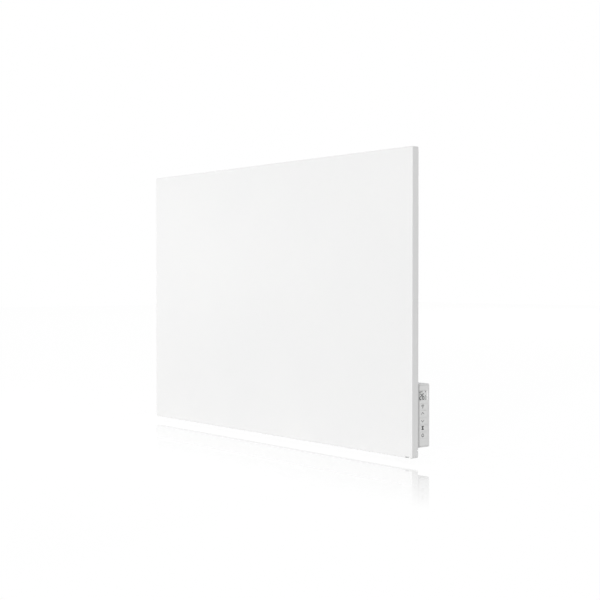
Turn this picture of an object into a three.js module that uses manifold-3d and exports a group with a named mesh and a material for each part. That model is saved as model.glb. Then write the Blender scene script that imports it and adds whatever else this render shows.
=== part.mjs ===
// Infrared panel heater. A folded steel tray is its flat warm face. Behind the face lie the heating
// film, a foil and an insulation board, closed by a back plate. Four hat brackets hold it off the wall,
// and a control box with a display and five keys sits behind the lower right corner.
// Millimetres. +X is to the right seen from the room, -Y faces the room, +Z is up.
// The origin is the centre of the box round the whole heater.

import * as THREE from 'three';
import { mergeVertices } from 'three/addons/utils/BufferGeometryUtils.js';
import Module from 'manifold-3d';

const wasm = await Module();
wasm.setup();

// Whole heater
const panelWidth = 900;
const panelHeight = 600;
const trayDepth = 18;
const wallStandoff = 37; // tray's back to the wall

// Clearances
const seat = 0.3; // between faces that touch
const play = 0.3; // round what passes through a hole
const past = 1; // how far a cutting form runs past what it cuts
const rooted = 0.5; // how far an added form starts inside what carries it

// Facets
const arcSteps = 2;
const roundSides = 16;
const smallSides = 8;
const dishSides = 90;
const leastRadius = 0.8; // on the inside of a fold or corner
const sharp = 0.1; // radius of a corner that is next to sharp

// Front tray, folded from sheet steel
const traySheet = 1.2;
const trayEdgeRadius = 1.2; // fold round the face
const trayCornerRadius = 2.8; // corner seen from the room
const flangeWidth = 18; // lip folded in at the back
const lipCornerRadius = 1;
const mitreWidth = 0.8; // slit where two lips meet
const mitreLength = 1.5; // in widths of the lip
const mitreInset = 0.58; // tray's side to the slit's middle, in widths of the lip

// Heating layers, from the face backwards
const filmMargin = 18; // tray's side to the film
const filmThickness = 0.6;
const filmCornerRadius = 6;
const busbarWidth = 12;
const busbarThickness = 0.8;
const busbarInset = 6; // film's edge to the busbar
const busbarCornerRadius = 1.5;
const foilThickness = 0.3;
const foilInset = 5; // busbar to the foil
const foilCornerRadius = 2;
const boardSideGap = 0.5;
const boardWell = 1.5; // room in the board round what enters it
const channelWidth = 5;
const channelDepth = 7;

// Back plate, pressed from thinner sheet
const backSheet = 0.8;
const backInset = 3;
const backCornerRadius = 4;
const beadBracketGap = 31; // bead's end to the brackets' feet
const beadWidth = 14;
const beadHeight = 2;
const beadPitch = 130;
const beadCount = 3;

// Screws and rivets
const screwRadius = 1.5;
const screwHeadRadius = 3.2;
const screwHeadHeight = 2;
const panRim = 0.4; // straight part of a pan head, as a share of its height
const panCrown = 0.85; // where its crown starts, as a share of its height
const panCrownWidth = 0.72; // and of its radius
const screwTip = 0.45; // a screw's flat tip, as a share of its radius
const screwPast = 1.5; // tip of a screw past the back plate
const backScrewInset = 8; // tray's edge to the screw
const backScrewCorner = 40; // tray's side to a corner's screw
const backScrewReach = 5; // behind the back plate's outer face
const rivetRadius = 2;
const rivetHeadRadius = 4;
const rivetHeadHeight = 1.4;
const rivetBulbRadius = 2.9;
const rivetBulbHeight = 1.2;
const rivetDomeWidth = 0.8; // shoulder of its dome, as a share of the head's radius
const rivetDomeHeight = 0.7; // and of the head's height
const rivetCrownWidth = 0.4;

// Wall brackets
const bracketBoxGap = 12.5; // control box to the lower right bracket's foot
const bracketRise = 100; // tray's lower or upper edge to a bracket's middle
const bracketSheet = 1.5;
const bracketHeight = 50;
const bracketBend = 1.5; // inner radius of its folds
const crownWidth = 44;
const footWidth = 17;
const footCornerCut = 8;
const keyholeRadius = 5;
const keyholeSlotRadius = 2.75;
const keyholeRise = 13; // from the round hole to the slot's end
const keyholeDrop = 6; // round hole below the bracket's middle

// Status lens in the lower edge
const lensSideInset = 13; // tray's right side to the lens
const lensWidth = 9;
const lensHeight = 2.2;
const lensDepth = 6;
const lensFlange = 3;

// Control box
const boxWidth = 84;
const boxHeight = 123.6;
const boxSideInset = 4.5; // tray's right side to the key face
const boxRise = 18.1; // tray's lower edge to the box
const boxWallGap = 1.6;
const boxWall = 2;
const boxCornerRadius = 2.6;
const boxEdgeRadius = 1.2;
const boxInnerRadius = 1; // corners inside the cover
const baseFloor = 2;
const baseRimHeight = 4;
const baseRimWall = 1.5;
const postRadius = 3.5;
const bossWall = 1.3; // plastic round a counterbore
const bossInset = 7.5;
const bossFaceInset = 16; // key face to the nearer bosses
const postHeight = 12;
const counterboreDepth = 3;
const baseScrewFaceInset = 28; // key face to the upper screw of the base
const baseScrewRise = 10; // box's underside to the lower one
const coverScrewReach = 7; // into the base's post
const ventWidth = 2.4;
const ventLength = 18;
const ventPitch = 5;
const ventCount = 5;
const ventFaceInset = 23.5; // key face to the first vent
const ventShift = 2; // vents' middle behind the box's middle

// Key face: a bezel with a display window and five keys
const bezelRim = 3.9; // cover's rim along the bezel
const bezelEndRim = 2.7; // and above and below it
const bezelThickness = 2;
const bezelCornerRadius = 1.5;
const lipWidth = 1.2;
const lipThickness = 1.4;
const pocketEndWall = 1;
const pocketRoom = 0.5; // beside the keys' skirts
const pocketCornerRadius = 1;
const windowSideWall = 1.2; // bezel's edge to the window
const windowHeight = 20.5;
const windowCornerRadius = 1.2;
const windowDrop = 21.95; // box's top to the window's middle
const windowLedge = 1;
const displayLensThickness = 0.9;
const lcdOverlap = 0.5; // its glass past the window's ledge
const lcdGlassThickness = 1.8;
const lcdFrameInset = 1.5;
const keySideWall = 3; // bezel's edge to a key
const keyGap = 2; // from key to key
const keyCornerRadius = 2;
const keyEdgeRadius = 0.4;
const keyDrop = 44.2; // box's top to the first key's middle
const lastKeyRise = 23.4; // box's underside to the last key's middle
const keyNames = ['key_wifi', 'key_up', 'key_down', 'key_timer', 'key_power'];
const keyProud = 0.25;
const keyTravel = 0.5;
const keyDish = 0.35; // hollow for the fingertip
const dishSideGap = 2.9; // hollow's end to the key's side
const skirtWidth = 1;
const skirtRise = 0.6;
const skirtThickness = 1;
const stemRadius = 1.6;
const stemReach = 1.6; // into the switch at rest
const switchSize = 6;
const switchHeight = 3.5;
const circuitThickness = 1.6;
const circuitCornerRadius = 1.5;
const keyBoardEdgeGap = 0.5;
const driverSize = 10;
const driverThickness = 1.2; // display driver on the key board's back
const stakeRadius = 0.8;
const stakeInset = 4.2; // bezel's edges to a stake
const stakeProud = 0.7;
const pillarRadius = 1.7;

// Power board and what stands on it. An inset is from the board's edge to the part's side.
const powerFaceGap = 14; // key face to the board
const powerFarGap = 6; // box's far side to the board
const powerLowGap = 15.9;
const powerHighGap = 24.7;
const powerStandoff = 4.5;
const pegInset = 4;
const pegRadius = 2.1;
const relaySize = [19, 15.8, 15.5];
const relayInset = 2.5;
const relayTerminalGap = 8.25;
const supplySize = [34, 15, 20];
const supplyInset = 2.5;
const supplyRise = 5.5;
const moduleEdge = 0.8;
const terminalSize = [30, 13.6, 12];
const terminalPitch = 6;
const terminalTopInset = 1;
const terminalLedge = 4;
const terminalLedgeDrop = 3;
const terminalEntryHeight = 5;
const terminalScrewRadius = 2;
const wifiSize = [18, 3, 25];
const wifiInset = 5;
const wifiRise = 26;
const wifiBoardThickness = 0.8;
const wifiCanInset = 1.2;
const antennaLength = 7;
const capacitorRadius = 5;
const capacitorHeight = 12;
const capacitorInset = 8;
const capacitorRise = 7;
const fuseLength = 20;
const fuseRadius = 2.4;
const fuseInset = 8;
const fuseClipWidth = 3;
const fuseClipDepth = 4;
const sensorInset = 20;
const sensorRise = 3;
const sensorHeight = 12;
const sensorBeadRadius = 1.8;
const sensorLegRadius = 0.5;
const sensorFootRadius = 1.4;

// Wiring between the panel and the box
const leadRadius = 1.2;
const leadBend = 4;
const leadSpacing = 6; // the two leads in the grommet
const wiringDrop = 13.5; // box's top to the grommet's middle
const wiringShift = 5; // grommet's middle to the box's, away from the key face
const wiringRoom = 1.5; // base's opening round the grommet and lug
const wiringCornerRadius = 4;
const leadEntry = 4; // of a lead in the terminal block
const grommetBore = 5;
const grommetNeck = 6;
const grommetFlange = 8.5;
const grommetFlangeHeight = 1.2;
const earthGap = 18; // grommet's middle to the earth screw
const earthScrewRadius = 1.8;
const earthHeadRadius = 3.2;
const earthHeadHeight = 2.2;
const lugRadius = 4.4;
const lugThickness = 1;
const lugBend = 2;
const cutoutRadius = 7;
const cutoutHeight = 6;
const cutoutRim = 1;
const bladeReach = 4;
const bladeThickness = 0.8;
const bladeWidth = 4;
const bladeSpread = 4.2; // cut-out's middle to a blade
const cutoutX = 0;

// Cable gland
const glandFarInset = 25; // box's far side to the gland's middle
const glandBore = 4;
const glandShank = 6;
const glandShankProud = 2; // past its nut
const glandHexRadius = 9.6;
const glandHexHeight = 5;
const glandDomeRadius = 8;
const glandDomeHeight = 6.5;
const glandShoulder = 2; // height of the dome's slope
const glandMouthWall = 1.2;
const glandNutHeight = 4;
const glandNutRadius = 9.2;

// Places worked out from those sizes
const halfWidth = panelWidth / 2;
const halfHeight = panelHeight / 2;
const frontY = -(trayDepth + wallStandoff) / 2;
const trayBackY = frontY + trayDepth;
const wallY = trayBackY + wallStandoff;
const skinBackY = frontY + traySheet;
const flangeFrontY = trayBackY - traySheet;
const filmFrontY = skinBackY + seat;
const filmBackY = filmFrontY + filmThickness;
const onFilmY = filmBackY + seat;
const boardFrontY = onFilmY + foilThickness + seat;
const boardBackY = flangeFrontY - seat;
const plateFrontY = trayBackY + seat;
const plateBackY = plateFrontY + backSheet;
const onPlateY = plateBackY + seat;
const faceX = halfWidth - boxSideInset;
const boxLowZ = -halfHeight + boxRise;
const boxDepth = wallY - boxWallGap - onPlateY;
const wiringX = -(boxWidth / 2 + wiringShift);
const wiringZ = boxHeight - wiringDrop;
const earthX = wiringX - earthGap;
const glandX = -boxWidth + glandFarInset;
const powerWidth = boxWidth - powerFaceGap - powerFarGap;
const powerHeight = boxHeight - powerLowGap - powerHighGap;
const powerMiddleX = -powerFaceGap - powerWidth / 2;
const powerMiddleZ = powerLowGap + powerHeight / 2;
const bracketHalf = crownWidth / 2 + footWidth;
const bracketX = faceX - boxWidth - bracketBoxGap - bracketHalf;
const bracketZ = halfHeight - bracketRise;
const beadLength = 2 * (bracketX - bracketHalf - beadBracketGap);
const filmWidth = panelWidth - 2 * filmMargin;
const filmHeight = panelHeight - 2 * filmMargin;
const busbarX = filmWidth / 2 - busbarInset - busbarWidth / 2;
const busbarLength = filmHeight - 2 * busbarInset;
const grommetX = faceX + wiringX;
const channelZ = boxLowZ + wiringZ;
const channelFloorY = boardBackY - channelDepth;
const channelY = boardBackY - channelDepth / 2;

// Shapes

function span(middle, size) {
  return [middle - size / 2, middle + size / 2];
}

function rectangle(width, height, radius) {
  const w = width / 2;
  const h = height / 2;
  const r = Math.min(radius, w, h);
  const shape = new THREE.Shape();
  shape.moveTo(-w + r, -h);
  shape.lineTo(w - r, -h);
  shape.absarc(w - r, -h + r, r, -Math.PI / 2, 0);
  shape.lineTo(w, h - r);
  shape.absarc(w - r, h - r, r, 0, Math.PI / 2);
  shape.lineTo(-w + r, h);
  shape.absarc(-w + r, h - r, r, Math.PI / 2, Math.PI);
  shape.lineTo(-w, -h + r);
  shape.absarc(-w + r, -h + r, r, Math.PI, Math.PI * 1.5);
  return shape;
}

// The outline of a strip of sheet folded along a line of points
function foldedStrip(points, thickness, innerRadius) {
  const bend = innerRadius + thickness / 2;
  const left = [];
  const right = [];
  const add = (point, normal) => {
    left.push(point.clone().addScaledVector(normal, thickness / 2));
    right.unshift(point.clone().addScaledVector(normal, -thickness / 2));
  };
  const normalOf = (direction) => new THREE.Vector2(-direction.y, direction.x);
  points.forEach((point, index) => {
    const before = points[index - 1];
    const after = points[index + 1];
    if (!before || !after) {
      const direction = (after ?? point).clone().sub(before ?? point).normalize();
      add(point, normalOf(direction));
      return;
    }
    const arriving = point.clone().sub(before).normalize();
    const leaving = after.clone().sub(point).normalize();
    const turn = Math.sign(arriving.cross(leaving));
    const angle = Math.acos(arriving.dot(leaving));
    const start = point.clone().addScaledVector(arriving, -bend * Math.tan(angle / 2));
    const middle = start.clone().addScaledVector(normalOf(arriving), turn * bend);
    for (let step = 0; step <= 2 * arcSteps; step += 1) {
      const turned = (turn * angle * step) / (2 * arcSteps);
      const normal = normalOf(arriving).rotateAround(new THREE.Vector2(), turned);
      add(middle.clone().addScaledVector(normal, -turn * bend), normal);
    }
  });
  return new THREE.Shape([...left, ...right]);
}

// Solids

function toSolid(geometry) {
  geometry.deleteAttribute('normal');
  geometry.deleteAttribute('uv');
  const merged = mergeVertices(geometry);
  const corners = merged.index.array;
  const kept = [];
  for (let i = 0; i < corners.length; i += 3) {
    const [a, b, c] = corners.slice(i, i + 3);
    if (a !== b && b !== c && c !== a) {
      kept.push(a, b, c);
    }
  }
  return new wasm.Manifold(new wasm.Mesh({
    numProp: 3,
    vertProperties: new Float32Array(merged.attributes.position.array),
    triVerts: new Uint32Array(kept),
  }));
}

function toGeometry(solid) {
  const mesh = solid.getMesh();
  const geometry = new THREE.BufferGeometry();
  geometry.setAttribute('position', new THREE.BufferAttribute(mesh.vertProperties, 3));
  geometry.setIndex(new THREE.BufferAttribute(mesh.triVerts, 1));
  geometry.computeVertexNormals();
  return geometry;
}

function block(x, y, z) {
  const geometry = new THREE.BoxGeometry(x[1] - x[0], y[1] - y[0], z[1] - z[0]);
  geometry.translate((x[0] + x[1]) / 2, (y[0] + y[1]) / 2, (z[0] + z[1]) / 2);
  return toSolid(geometry);
}

function rod(radius, from, to, sides = smallSides) {
  const start = new THREE.Vector3(...from);
  const axis = new THREE.Vector3(...to).sub(start);
  const length = axis.length();
  const geometry = new THREE.CylinderGeometry(radius, radius, length, sides);
  geometry.translate(0, length / 2, 0);
  geometry.applyQuaternion(new THREE.Quaternion().setFromUnitVectors(
    new THREE.Vector3(0, 1, 0), axis.normalize()));
  geometry.translate(start.x, start.y, start.z);
  return toSolid(geometry);
}

// A round form about +Y, from [radius, height] pairs that start and end on the axis
function turned(profile, sides = smallSides) {
  const points = profile.map(([radius, height]) => new THREE.Vector2(radius, height));
  return toSolid(new THREE.LatheGeometry(points, sides));
}

// A tube-like round form about +Y, from a closed line of [radius, height] pairs
function ring(profile, sides = roundSides) {
  return turned([...profile, profile[0]], sides);
}

function extrusion(shape, depth, edgeRadius, edgeSteps, cornerSteps = arcSteps) {
  const geometry = new THREE.ExtrudeGeometry(shape, {
    depth: depth - 2 * edgeRadius,
    bevelEnabled: edgeRadius > 0,
    bevelThickness: edgeRadius,
    bevelSize: edgeRadius,
    bevelOffset: -edgeRadius,
    bevelSegments: edgeSteps,
    curveSegments: cornerSteps,
  });
  geometry.translate(0, 0, edgeRadius);
  return geometry;
}

// A shape seen from the room (X across, Z up), thick along Y
function slabY(shape, y, edgeRadius = 0, edgeSteps = 3) {
  const geometry = extrusion(shape, y[1] - y[0], edgeRadius, edgeSteps);
  geometry.rotateX(Math.PI / 2);
  geometry.translate(0, y[1], 0);
  return toSolid(geometry);
}

// A shape seen from the right (Y across, Z up), thick along X
function slabX(shape, x, edgeRadius = 0, edgeSteps = 1) {
  const geometry = extrusion(shape, x[1] - x[0], edgeRadius, edgeSteps, 1);
  const axes = new THREE.Matrix4().makeBasis(
    new THREE.Vector3(0, 1, 0), new THREE.Vector3(0, 0, 1), new THREE.Vector3(1, 0, 0));
  geometry.applyMatrix4(axes);
  geometry.translate(x[0], 0, 0);
  return toSolid(geometry);
}

function slabZ(shape, z) {
  const geometry = extrusion(shape, z[1] - z[0], 0, 1, 1);
  geometry.translate(0, 0, z[0]);
  return toSolid(geometry);
}

function moved(solid, x, y, z) {
  return solid.translate([x, y, z]);
}

// A line of stations that a wire follows: straight runs need one step, bends a few
class WireRoute extends THREE.Curve {
  constructor(stations) {
    super();
    this.stations = stations;
  }

  getPoint(t) {
    const place = t * (this.stations.length - 1);
    const index = Math.min(Math.round(place), this.stations.length - 1);
    return this.stations[index].clone();
  }

  getPointAt(t) {
    return this.getPoint(t);
  }

  getSpacedPoints(steps) {
    return Array.from({ length: steps + 1 }, (_, step) => this.getPoint(step / steps));
  }

  getTangentAt(t) {
    const last = this.stations.length - 1;
    const index = Math.min(Math.round(t * last), last);
    const before = this.stations[Math.max(index - 1, 0)];
    const after = this.stations[Math.min(index + 1, last)];
    const arriving = this.stations[index].clone().sub(before).normalize();
    const leaving = after.clone().sub(this.stations[index]).normalize();
    return arriving.add(leaving).normalize();
  }
}

function wire(points, radius = leadRadius, bend = leadBend, sides = 8) {
  const corners = points.map((point) => new THREE.Vector3(...point));
  const stations = [corners[0]];
  for (let i = 1; i < corners.length - 1; i += 1) {
    const arriving = corners[i].clone().sub(corners[i - 1]).normalize();
    const leaving = corners[i + 1].clone().sub(corners[i]).normalize();
    const curve = new THREE.QuadraticBezierCurve3(
      corners[i].clone().addScaledVector(arriving, -bend),
      corners[i],
      corners[i].clone().addScaledVector(leaving, bend));
    stations.push(...curve.getPoints(4));
  }
  stations.push(corners[corners.length - 1]);
  const section = new THREE.Shape();
  section.absarc(0, 0, radius, 0, Math.PI * 2);
  const geometry = new THREE.ExtrudeGeometry(section, {
    steps: stations.length - 1,
    curveSegments: sides / 2,
    extrudePath: new WireRoute(stations),
  });
  return toSolid(geometry);
}

// The heater and its two nested groups

const heater = new THREE.Group();
const panel = new THREE.Group();
const controlBox = new THREE.Group();
controlBox.position.set(faceX, onPlateY, boxLowZ);
heater.add(panel, controlBox);

function addPiece(group, name, solid, look, position = [0, 0, 0]) {
  const [color, roughness, metalness] = look;
  const mesh = new THREE.Mesh(
    toGeometry(solid),
    new THREE.MeshStandardMaterial({ color, roughness, metalness }));
  mesh.name = name;
  mesh.position.set(...position);
  group.add(mesh);
}

const powderCoat = [0xf1f1f0, 0.55, 0];
const galvanised = [0xb9bdc0, 0.42, 1];
const steel = [0xc2c4c6, 0.3, 1];
const housing = [0xececea, 0.5, 0];
const keyPlastic = [0xe6e6e4, 0.5, 0];
const darkPlastic = [0x1c1d1f, 0.45, 0];
const circuitGreen = [0x24563a, 0.5, 0];

// Fasteners, each about +Y with the underside of its head at the origin

function panScrew(radius, headRadius, headHeight, reach) {
  return turned([
    [0, -reach],
    [radius * screwTip, -reach],
    [radius, -reach + radius],
    [radius, 0],
    [headRadius, 0],
    [headRadius, headHeight * panRim],
    [headRadius * panCrownWidth, headHeight * panCrown],
    [0, headHeight],
  ]);
}

function blindRivet(grip) {
  const bulbEnd = grip + rivetBulbHeight;
  return turned([
    [0, -bulbEnd],
    [rivetBulbRadius * rivetDomeWidth, -bulbEnd],
    [rivetBulbRadius, -bulbEnd + rivetBulbHeight / 2],
    [rivetBulbRadius, -grip],
    [rivetRadius, -grip],
    [rivetRadius, 0],
    [rivetHeadRadius, 0],
    [rivetHeadRadius * rivetDomeWidth, rivetHeadHeight * rivetDomeHeight],
    [rivetHeadRadius * rivetCrownWidth, rivetHeadHeight],
    [0, rivetHeadHeight],
  ]);
}

// Places of the screws round the back plate and of the brackets

const sideScrewX = halfWidth - backScrewInset;
const edgeScrewZ = halfHeight - backScrewInset;
const cornerScrewX = halfWidth - backScrewCorner;
const backScrews = [
  [-cornerScrewX, edgeScrewZ],
  [0, edgeScrewZ],
  [cornerScrewX, edgeScrewZ],
  [-sideScrewX, 0],
  [sideScrewX, 0],
  [-cornerScrewX, -edgeScrewZ],
  [0, -edgeScrewZ],
  [cornerScrewX, -edgeScrewZ],
];
const brackets = [
  ['upper_left', -bracketX, bracketZ],
  ['upper_right', bracketX, bracketZ],
  ['lower_left', -bracketX, -bracketZ],
  ['lower_right', bracketX, -bracketZ],
];
const rivetOffset = (crownWidth + footWidth) / 2;
const baseScrews = [
  ['upper', -baseScrewFaceInset, wiringZ],
  ['lower', wiringX, baseScrewRise],
];
const lensMiddleX = halfWidth - lensSideInset;

// Room side: the folded tray

function trayForm(inset, y) {
  const form = slabY(
    rectangle(panelWidth - 2 * inset, panelHeight - 2 * inset, trayCornerRadius - inset),
    [y[0], y[1] + trayEdgeRadius * 2],
    Math.max(trayEdgeRadius - inset, leastRadius), 2);
  return form.intersect(block(span(0, panelWidth + past), y, span(0, panelHeight + past)));
}

function lensNotch(clearance) {
  return block(
    span(lensMiddleX, lensWidth + 2 * clearance),
    [frontY - past, frontY + lensDepth + clearance],
    [-halfHeight - past, -halfHeight + lensHeight + clearance]);
}

function frontPanel() {
  let tray = trayForm(0, [frontY, trayBackY])
    .subtract(trayForm(traySheet, [skinBackY, flangeFrontY]))
    .subtract(slabY(
      rectangle(panelWidth - 2 * flangeWidth, panelHeight - 2 * flangeWidth, lipCornerRadius),
      [flangeFrontY - past, trayBackY + past]));
  const slitForm = rectangle(mitreWidth, flangeWidth * mitreLength, sharp);
  for (const [sx, sz] of [[1, 1], [-1, 1], [-1, -1], [1, -1]]) {
    const slit = slabY(slitForm, [flangeFrontY - sharp, trayBackY + past]).rotate([0, sx * sz * 45, 0]);
    const x = sx * (halfWidth - flangeWidth * mitreInset);
    const z = sz * (halfHeight - flangeWidth * mitreInset);
    tray = tray.subtract(moved(slit, x, 0, z));
  }
  for (const [x, z] of backScrews) {
    tray = tray.subtract(rod(
      screwRadius + play, [x, flangeFrontY - past, z], [x, trayBackY + past, z]));
  }
  return tray.subtract(lensNotch(seat));
}

function statusLens() {
  const outer = trayForm(0, [frontY, frontY + lensDepth]);
  const nub = outer.intersect(lensNotch(0));
  const flange = block(
    span(lensMiddleX, lensWidth + 2 * lensFlange),
    [skinBackY + seat, frontY + lensDepth + lensFlange],
    [-halfHeight + traySheet + seat, -halfHeight + traySheet + seat + lensFlange]);
  return nub.add(flange);
}

addPiece(panel, 'front_panel', frontPanel(), powderCoat);
addPiece(panel, 'status_lens', statusLens(), darkPlastic);

// Heating layers

function insulationBoard() {
  const width = panelWidth - 2 * (traySheet + boardSideGap);
  const height = panelHeight - 2 * (traySheet + boardSideGap);
  let board = slabY(rectangle(width, height, trayCornerRadius), [boardFrontY, boardBackY]);
  const grooveBackY = onFilmY + busbarThickness + seat;
  for (const side of [-1, 1]) {
    board = board.subtract(block(
      span(side * busbarX, busbarWidth + 2 * seat),
      [boardFrontY - past, grooveBackY],
      span(0, busbarLength + 2 * seat)));
  }
  board = board.subtract(block(
    span(0, 2 * busbarX), [channelFloorY, boardBackY + past], span(channelZ, channelWidth)));
  const well = (radius, x, frontY, z, sides) => {
    board = board.subtract(rod(radius, [x, frontY, z], [x, boardBackY + past, z], sides));
  };
  well(leadRadius + boardWell, -busbarX, boardFrontY - past, channelZ);
  well(leadRadius + boardWell, busbarX, boardFrontY - past, channelZ);
  well(grommetBore + boardWell, grommetX, channelFloorY, channelZ, roundSides);
  well(cutoutRadius + cutoutRim + seat, cutoutX, boardFrontY - past, channelZ, roundSides);
  for (const [x, z] of backScrews) {
    well(screwRadius + boardWell, x, plateBackY - backScrewReach - past, z);
  }
  return board.subtract(block(
    span(lensMiddleX, lensWidth + 2 * lensFlange + 2 * seat),
    [boardFrontY - past, frontY + lensDepth + lensFlange + seat],
    [-halfHeight, -halfHeight + traySheet + 2 * seat + lensFlange]));
}

function reflectorFoil() {
  const width = 2 * (busbarX - busbarWidth / 2 - foilInset);
  const foil = slabY(
    rectangle(width, busbarLength, foilCornerRadius), [onFilmY, onFilmY + foilThickness]);
  return foil.subtract(rod(
    cutoutRadius + cutoutRim + seat,
    [cutoutX, onFilmY - past, channelZ], [cutoutX, boardFrontY + past, channelZ], roundSides));
}

const filmForm = slabY(rectangle(filmWidth, filmHeight, filmCornerRadius), [filmFrontY, filmBackY]);
addPiece(panel, 'heating_film', filmForm, [0x2b2b2d, 0.6, 0]);
for (const [name, side] of [['busbar_left', -1], ['busbar_right', 1]]) {
  const bar = slabY(rectangle(busbarWidth, busbarLength, busbarCornerRadius), [0, busbarThickness]);
  addPiece(panel, name, bar, [0xb87346, 0.3, 1], [side * busbarX, onFilmY, 0]);
}
addPiece(panel, 'reflector_foil', reflectorFoil(), [0xd4d6d8, 0.2, 1]);
addPiece(panel, 'insulation_board', insulationBoard(), [0xc9c2a6, 0.95, 0]);

// Back plate with its pressed beads

function bead(length, width, height, floorY) {
  return slabY(
    rectangle(length, width, width / 2), [floorY - height, floorY + height], height, 2)
    .intersect(block(
      span(0, length + past), [floorY - backSheet / 2, floorY + height + past], span(0, width + past)));
}

function backPlate() {
  const beads = Array.from({ length: beadCount }, (_, i) => (i - (beadCount - 1) / 2) * beadPitch);
  let plate = slabY(
    rectangle(panelWidth - 2 * backInset, panelHeight - 2 * backInset, backCornerRadius),
    [plateFrontY, plateBackY]);
  for (const z of beads) {
    plate = plate.add(moved(bead(beadLength, beadWidth, beadHeight, plateBackY), 0, 0, z));
  }
  for (const z of beads) {
    plate = plate.subtract(moved(
      bead(beadLength - 2 * backSheet, beadWidth - 2 * backSheet, beadHeight, plateFrontY), 0, 0, z));
  }
  const hole = (radius, x, z, sides) => {
    plate = plate.subtract(rod(radius, [x, plateFrontY - past, z], [x, plateBackY + past, z], sides));
  };
  for (const [x, z] of backScrews) {
    hole(screwRadius + play, x, z);
  }
  for (const [, x, z] of brackets) {
    hole(rivetRadius + play, x - rivetOffset, z);
    hole(rivetRadius + play, x + rivetOffset, z);
  }
  for (const [, x, z] of baseScrews) {
    hole(screwRadius + play, faceX + x, boxLowZ + z);
  }
  hole(earthScrewRadius + play, faceX + earthX, channelZ);
  hole(grommetNeck + play, grommetX, channelZ, roundSides);
  return plate;
}

addPiece(panel, 'back_plate', backPlate(), galvanised);
backScrews.forEach(([x, z], index) => {
  const screw = panScrew(screwRadius, screwHeadRadius, screwHeadHeight, backScrewReach);
  addPiece(panel, `back_screw_${index + 1}`, screw, steel, [x, onPlateY, z]);
});

// Wall brackets: hat sections with a keyhole in the crown

function wallBracket() {
  const depth = wallY - onPlateY;
  const half = bracketSheet / 2;
  const legX = crownWidth / 2 - half;
  const outline = foldedStrip([
    new THREE.Vector2(-bracketHalf, half),
    new THREE.Vector2(-legX, half),
    new THREE.Vector2(-legX, depth - half),
    new THREE.Vector2(legX, depth - half),
    new THREE.Vector2(legX, half),
    new THREE.Vector2(bracketHalf, half),
  ], bracketSheet, bracketBend);
  let hat = slabZ(outline, span(0, bracketHeight));
  const crown = [depth - bracketSheet - past, depth + past];
  const slotEnd = keyholeRise - keyholeDrop;
  hat = hat
    .subtract(rod(keyholeRadius, [0, crown[0], -keyholeDrop], [0, crown[1], -keyholeDrop], roundSides))
    .subtract(rod(keyholeSlotRadius, [0, crown[0], slotEnd], [0, crown[1], slotEnd], roundSides))
    .subtract(block(span(0, 2 * keyholeSlotRadius), crown, [-keyholeDrop, slotEnd]));
  for (const side of [-1, 1]) {
    const x = side * rivetOffset;
    hat = hat.subtract(rod(rivetRadius + play, [x, -past, 0], [x, bracketSheet + past, 0]));
    for (const end of [-1, 1]) {
      const corner = slabY(
        rectangle(footCornerCut, footCornerCut, sharp), [-past, bracketSheet + past]).rotate([0, 45, 0]);
      hat = hat.subtract(moved(corner, side * bracketHalf, 0, end * bracketHeight / 2));
    }
  }
  return hat;
}

for (const [place, x, z] of brackets) {
  addPiece(panel, `wall_bracket_${place}`, wallBracket(), galvanised, [x, onPlateY, z]);
  const grip = bracketSheet + 3 * seat + backSheet;
  for (const [hand, side] of [['left', -1], ['right', 1]]) {
    addPiece(panel, `rivet_${place}_${hand}`, blindRivet(grip), steel,
      [x + side * rivetOffset, onPlateY + bracketSheet + seat, z]);
  }
}

// Wiring inside the panel

function thermalCutout() {
  let body = turned([
    [0, 0],
    [cutoutRadius + cutoutRim, 0],
    [cutoutRadius + cutoutRim, cutoutRim],
    [cutoutRadius, cutoutRim],
    [cutoutRadius, cutoutHeight],
    [0, cutoutHeight],
  ], roundSides);
  for (const side of [-1, 1]) {
    body = body.add(block(
      span(side * bladeSpread, bladeThickness),
      [cutoutHeight - rooted, cutoutHeight + bladeReach],
      span(0, bladeWidth)));
  }
  return body;
}

function wireGrommet() {
  const inner = plateFrontY - seat;
  return moved(ring([
    [grommetBore, inner - grommetFlangeHeight],
    [grommetFlange - rooted, inner - grommetFlangeHeight],
    [grommetFlange, inner],
    [grommetNeck, inner],
    [grommetNeck, onPlateY],
    [grommetFlange, onPlateY],
    [grommetFlange - rooted, onPlateY + grommetFlangeHeight],
    [grommetBore + rooted, onPlateY + grommetFlangeHeight],
    [grommetBore, onPlateY + grommetFlangeHeight - rooted],
  ]), grommetX, 0, channelZ);
}

const entryY = onPlateY + baseFloor + powerStandoff + circuitThickness + seat + terminalEntryHeight;
const entryZ = boxLowZ + powerMiddleZ + powerHeight / 2 - terminalTopInset - leadEntry;
const bladeX = bladeSpread + bladeThickness / 2 + seat;
const busbarBackY = onFilmY + busbarThickness;

function panelLead(grommetSide, lastPoints) {
  const x = grommetX + grommetSide * leadSpacing / 2;
  return wire([
    [x, entryY, entryZ],
    [x, entryY, channelZ],
    [x, channelY, channelZ],
    ...lastPoints,
  ]);
}

addPiece(panel, 'thermal_cutout', thermalCutout(), darkPlastic, [cutoutX, onFilmY, channelZ]);
addPiece(panel, 'wire_grommet', wireGrommet(), [0x242424, 0.8, 0]);
addPiece(panel, 'live_lead', panelLead(1, [
  [busbarX, channelY, channelZ],
  [busbarX, busbarBackY + seat, channelZ],
]), [0x6b4226, 0.5, 0]);
addPiece(panel, 'neutral_lead', panelLead(-1, [
  [cutoutX + bladeX, channelY, channelZ],
]), [0x2f5f9e, 0.5, 0]);
addPiece(panel, 'cutout_lead', wire([
  [cutoutX - bladeX, channelY, channelZ],
  [-busbarX, channelY, channelZ],
  [-busbarX, busbarBackY + seat, channelZ],
]), [0x2f5f9e, 0.5, 0]);

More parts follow.
